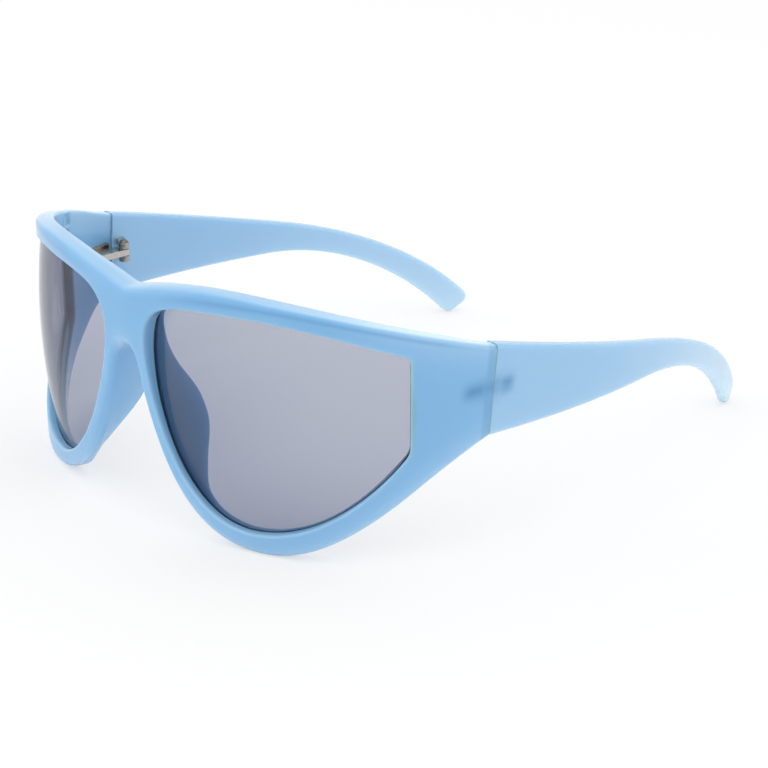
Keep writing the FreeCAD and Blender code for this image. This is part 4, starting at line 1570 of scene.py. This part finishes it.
def haze_group(detail: float = 3.0, grain: float = 0.55, depth: float = 0.0002) -> bpy.types.NodeTree:
    """Group of fine unevenness that every finish shares.

    Args:
        detail: Octaves of the noise.
        grain: Strength of each finer octave against the one before.
        depth: Height of the relief in metres.
    Returns:
        A group from a place, a size and an amount to a value about 0 and a normal that is bent a little.
    """
    tree = bpy.data.node_groups.new("fine_haze", "ShaderNodeTree")
    nodes = Nodes(tree)
    tree.interface.new_socket("Vector", in_out="INPUT", socket_type="NodeSocketVector")
    for name in ("Scale", "Amount", "Relief"):
        tree.interface.new_socket(name, in_out="INPUT", socket_type="NodeSocketFloat")
    tree.interface.new_socket("Value", in_out="OUTPUT", socket_type="NodeSocketFloat")
    tree.interface.new_socket("Normal", in_out="OUTPUT", socket_type="NodeSocketVector")
    start, end = nodes.add("NodeGroupInput"), nodes.add("NodeGroupOutput")
    noise = nodes.add("ShaderNodeTexNoise", in_Detail=detail, in_Roughness=grain)
    nodes.join(start.outputs["Vector"], noise.inputs["Vector"])
    nodes.join(start.outputs["Scale"], noise.inputs["Scale"])
    centred = nodes.maths("SUBTRACT", noise.outputs[0], 0.5)
    nodes.join(nodes.maths("MULTIPLY", centred, start.outputs["Amount"]), end.inputs["Value"])
    bump = nodes.add("ShaderNodeBump", in_Distance=depth)
    nodes.join(noise.outputs[0], bump.inputs["Height"])
    nodes.join(start.outputs["Relief"], bump.inputs["Strength"])
    nodes.join(bump.outputs[0], end.inputs["Normal"])
    return tree


@dataclass(frozen=True)
class Finish:
    """What all finishes have: a name, and the fine unevenness of their gloss."""

    name: str
    roughness: float
    haze_scale: float
    haze: float
    relief: float

    def start(self) -> tuple[bpy.types.Material, Nodes, bpy.types.Node]:
        """New material with its shader and the shared haze on its gloss.

        Returns:
            The material, its nodes and its shader.
        """
        material = bpy.data.materials.new(self.name)
        material.use_nodes = True
        nodes = Nodes(material.node_tree)
        shader = nodes.add("ShaderNodeBsdfPrincipled")
        place = nodes.add("ShaderNodeTexCoord")
        tree = bpy.data.node_groups.get("fine_haze") or haze_group()
        haze = nodes.add("ShaderNodeGroup", node_tree=tree)
        nodes.join(place.outputs["Object"], haze.inputs["Vector"])
        for key, value in (("Scale", self.haze_scale), ("Amount", self.haze), ("Relief", self.relief)):
            haze.inputs[key].default_value = value
        nodes.join(nodes.maths("ADD", haze.outputs["Value"], self.roughness), shader.inputs["Roughness"])
        nodes.join(haze.outputs["Normal"], shader.inputs["Normal"])
        return material, nodes, shader

    def finish(self, nodes: Nodes, shader: bpy.types.Node) -> bpy.types.Node:
        """Joins the shader to a new output.

        Args:
            nodes: Nodes of the material.
            shader: Its shader.
        Returns:
            The output.
        """
        output = nodes.add("ShaderNodeOutputMaterial")
        nodes.join(shader.outputs[0], output.inputs["Surface"])
        return output


@dataclass(frozen=True)
class MilkyPlastic(Finish):
    """Glossy light-blue plastic that light sinks into, with painted light where thin or lit, darker over what
    is sunk in it, and with painted shade and a painted dark reflection.
    """

    name: str = "milky_blue_plastic"
    roughness: float = 0.14
    haze_scale: float = 300.0
    haze: float = 0.05
    relief: float = 0.03
    deep: Colour = (0.23, 0.49, 0.76)
    # Colour of the painted light.
    pale: Colour = (0.66, 0.84, 0.97)
    # Colour over the metal sunk in the plastic, also used for the painted shade and the painted dark
    # reflection.
    sunk: Colour = (0.07, 0.27, 0.52)
    sunk_and_shade_share: float = 0.8
    # Colour of the painted shade in the lens seat.
    seat: Colour = (0.012, 0.03, 0.07)
    scatter: float = 0.0014
    scatter_radius: Colour = (1.0, 1.0, 1.0)
    index: float = 1.5

    def material(self) -> bpy.types.Material:
        """Material: blue, mixed to the painted light's pale, to the shade of the sunk metal with the painted
        shade, and to the seat's painted shade, by the point values.

        Returns:
            The material.
        """
        material, nodes, shader = self.start()
        pale, shade, seat = (nodes.mask(mask) for mask in (Mask.PALE, Mask.SHADE, Mask.SEAT))
        colour = nodes.mix(pale, self.deep, self.pale)
        colour = nodes.mix(nodes.maths("MULTIPLY", shade, self.sunk_and_shade_share), colour, self.sunk)
        colour = nodes.mix(seat, colour, self.seat)
        nodes.join(colour, shader.inputs["Base Color"])
        nodes.join(nodes.maths("SUBTRACT", 1.0, seat), shader.inputs["Subsurface Weight"])
        shader.inputs["Subsurface Radius"].default_value = self.scatter_radius
        shader.inputs["Subsurface Scale"].default_value = self.scatter
        shader.inputs["IOR"].default_value = self.index
        self.finish(nodes, shader)
        return material


@dataclass(frozen=True)
class SmokeLens(Finish):
    """Clear polished plastic that soaks up light on its way through, so long paths look darker."""

    name: str = "smoke_lens"
    roughness: float = 0.0
    haze_scale: float = 120.0
    haze: float = 0.0
    relief: float = 0.0
    density: float = 780.0
    passes: Colour = (0.22, 0.26, 0.43)
    # Colour of the painted shade on the lens edge.
    edge: Colour = (0.008, 0.012, 0.022)
    index: float = 1.4

    def material(self) -> bpy.types.Material:
        """Material: clear to light and shadow rays, with painted shade on the edge, and the smoke in the
        volume.

        Returns:
            The material.
        """
        material, nodes, shader = self.start()
        shader.inputs["Base Color"].default_value = (1.0, 1.0, 1.0, 1.0)
        shader.inputs["Transmission Weight"].default_value = 1.0
        shader.inputs["IOR"].default_value = self.index
        path = nodes.add("ShaderNodeLightPath")
        both = nodes.blend(path.outputs["Is Shadow Ray"], shader, nodes.add("ShaderNodeBsdfTransparent"))
        # Painted shade: a dark diffuse edge where the seat's shade falls.
        rim = nodes.add("ShaderNodeBsdfDiffuse", in_Color=(*self.edge, 1.0))
        output = self.finish(nodes, nodes.blend(nodes.mask(Mask.SEAT), both, rim))
        smoke = nodes.add("ShaderNodeVolumeAbsorption", in_Color=(*self.passes, 1.0), in_Density=self.density)
        nodes.join(smoke.outputs[0], output.inputs["Volume"])
        return material


@dataclass(frozen=True)
class PlatedMetal(Finish):
    """Warm nickel plating with fine wear, and painted shade and painted dark reflections in a dark colour."""

    name: str = "nickel_plating"
    roughness: float = 0.24
    haze_scale: float = 900.0
    haze: float = 0.2
    relief: float = 0.25
    bright: Colour = (0.84, 0.80, 0.74)
    worn: Colour = (0.60, 0.55, 0.49)
    # Colour of the painted shade and painted dark reflections.
    brown: Colour = (0.055, 0.043, 0.034)
    wear_scale: float = 700.0
    wear_detail: float = 2.0

    def material(self) -> bpy.types.Material:
        """Material: metal, mixed from bright to worn by soft noise and to a dark colour by the painted shade
        on the points.

        Returns:
            The material.
        """
        material, nodes, shader = self.start()
        place = nodes.add("ShaderNodeTexCoord")
        noise = nodes.add("ShaderNodeTexNoise", in_Scale=self.wear_scale, in_Detail=self.wear_detail)
        nodes.join(place.outputs["Object"], noise.inputs["Vector"])
        plating = nodes.mix(noise.outputs[0], self.bright, self.worn)
        # Painted shade and painted dark reflections, mixed in by the points' values.
        colour = nodes.mix(nodes.mask(Mask.PAINTED_SHADE), plating, self.brown)
        nodes.join(colour, shader.inputs["Base Color"])
        shader.inputs["Metallic"].default_value = 1.0
        self.finish(nodes, shader)
        return material


@dataclass
class Studio:
    """White studio: pale floor, soft light all round and more from above, and the photo's camera."""

    eye: tuple[float, float, float] = (0.368328, -0.371821, 0.210394)
    azimuth: float = math.radians(44.7039)
    elevation: float = math.radians(20.8332)
    roll: float = math.radians(1.0779)
    lens: float = 99.30
    sensor: float = 36.0
    clip: Pair = (0.01, 20.0)
    floor_size: float = 4.0
    floor_colour: Colour = (0.96, 0.96, 0.96)
    floor_glow: float = 0.55
    world_light: float = 0.94
    panels: tuple[tuple[Vector, float, float], ...] = (
        (Vector((0.15, -0.25, 1.1)), 1.2, 2.0),
        (Vector((-0.9, -0.7, 0.7)), 0.8, 1.0),
    )

    def camera(self) -> bpy.types.Object:
        """Camera at the photo's eye, turned by azimuth, elevation and roll.

        Returns:
            The camera.
        """
        data = bpy.data.cameras.new("camera")
        data.lens, data.sensor_width = self.lens, self.sensor
        data.clip_start, data.clip_end = self.clip
        camera = new_object("camera", data)
        sa, ca = math.sin(self.azimuth), math.cos(self.azimuth)
        se, ce = math.sin(self.elevation), math.cos(self.elevation)
        right, back = Vector((ca, sa, 0.0)), Vector((sa * ce, -ca * ce, se))
        up = back.cross(right)
        tilted = right * math.cos(self.roll) + up * math.sin(self.roll)
        axes = Matrix((tilted, back.cross(tilted), back)).transposed().to_4x4()
        camera.matrix_world = Matrix.Translation(self.eye) @ axes
        bpy.context.scene.camera = camera
        return camera

    def floor(self) -> bpy.types.Object:
        """Pale floor under the pair, that keeps only a soft shadow where the camera sees it.

        Returns:
            The floor.
        """
        half = self.floor_size / 2
        mesh = bpy.data.meshes.new("floor")
        corners = [(-half, -half, 0), (half, -half, 0), (half, half, 0), (-half, half, 0)]
        mesh.from_pydata(corners, [], [(0, 1, 2, 3)])
        material = bpy.data.materials.new("studio_floor")
        material.use_nodes = True
        nodes = Nodes(material.node_tree)
        shader = nodes.add("ShaderNodeBsdfDiffuse", in_Color=(*self.floor_colour, 1.0))
        path = nodes.add("ShaderNodeLightPath")
        glow = nodes.maths("MULTIPLY", path.outputs["Is Camera Ray"], self.floor_glow)
        both = nodes.blend(glow, shader, nodes.add("ShaderNodeEmission"))
        output = nodes.add("ShaderNodeOutputMaterial")
        nodes.join(both.outputs[0], output.inputs["Surface"])
        mesh.materials.append(material)
        floor = new_object("floor", mesh)
        return floor

    def world(self) -> bpy.types.World:
        """World that lights softly and is plain white where it is seen, mirrored or shines through a lens.

        Returns:
            The world.
        """
        world = bpy.data.worlds.new("studio")
        bpy.context.scene.world = world
        world.use_nodes = True
        nodes = Nodes(world.node_tree)
        light = nodes.add("ShaderNodeBackground", in_Strength=self.world_light)
        seen = nodes.add("ShaderNodeBackground", in_Strength=1.0)
        light.inputs["Color"].default_value = seen.inputs["Color"].default_value = (1.0, 1.0, 1.0, 1.0)
        path = nodes.add("ShaderNodeLightPath")
        rays = nodes.maths("MAXIMUM", path.outputs["Is Camera Ray"], path.outputs["Is Glossy Ray"])
        rays = nodes.maths("MAXIMUM", rays, path.outputs["Is Transmission Ray"])
        output = nodes.add("ShaderNodeOutputWorld")
        nodes.join(nodes.blend(rays, light, seen).outputs[0], output.inputs["Surface"])
        return world

    def lamps(self) -> list[bpy.types.Object]:
        """Soft panels aimed at the pair.

        Returns:
            The lamps.
        """
        made = []
        for number, (place, size, power) in enumerate(self.panels):
            data = bpy.data.lights.new(f"panel_{number}", "AREA")
            data.shape, data.size, data.energy = "SQUARE", size, power
            lamp = new_object(data.name, data)
            lamp.location = place
            lamp.rotation_mode = "QUATERNION"
            lamp.rotation_quaternion = (-place).to_track_quat("-Z", "Y")
            made.append(lamp)
        return made

    def build(self) -> None:
        """Makes the whole studio."""
        bpy.context.scene.view_settings.view_transform = "Standard"
        self.camera()
        self.floor()
        self.world()
        self.lamps()
        LOG.info("studio: camera, floor, world and %d panels", len(self.panels))


def main() -> None:
    """Builds and dresses every sub-assembly and sets the studio up."""
    logging.basicConfig(level=logging.INFO, format="%(name)s: %(message)s")
    wall, hinge = Wall(), Hinge()
    kit = Kit(wall, Outline(), LensSheet(), hinge, Placement(wall, hinge, frame["joints"]))
    plastic = MilkyPlastic().material()
    FrontFrame(kit).build(plastic)
    Lens(kit).build(SmokeLens().material())
    Temple(kit).build(plastic)
    HingeMetal(kit).build(PlatedMetal().material())
    Studio().build()


if __name__ == "__main__":
    main()
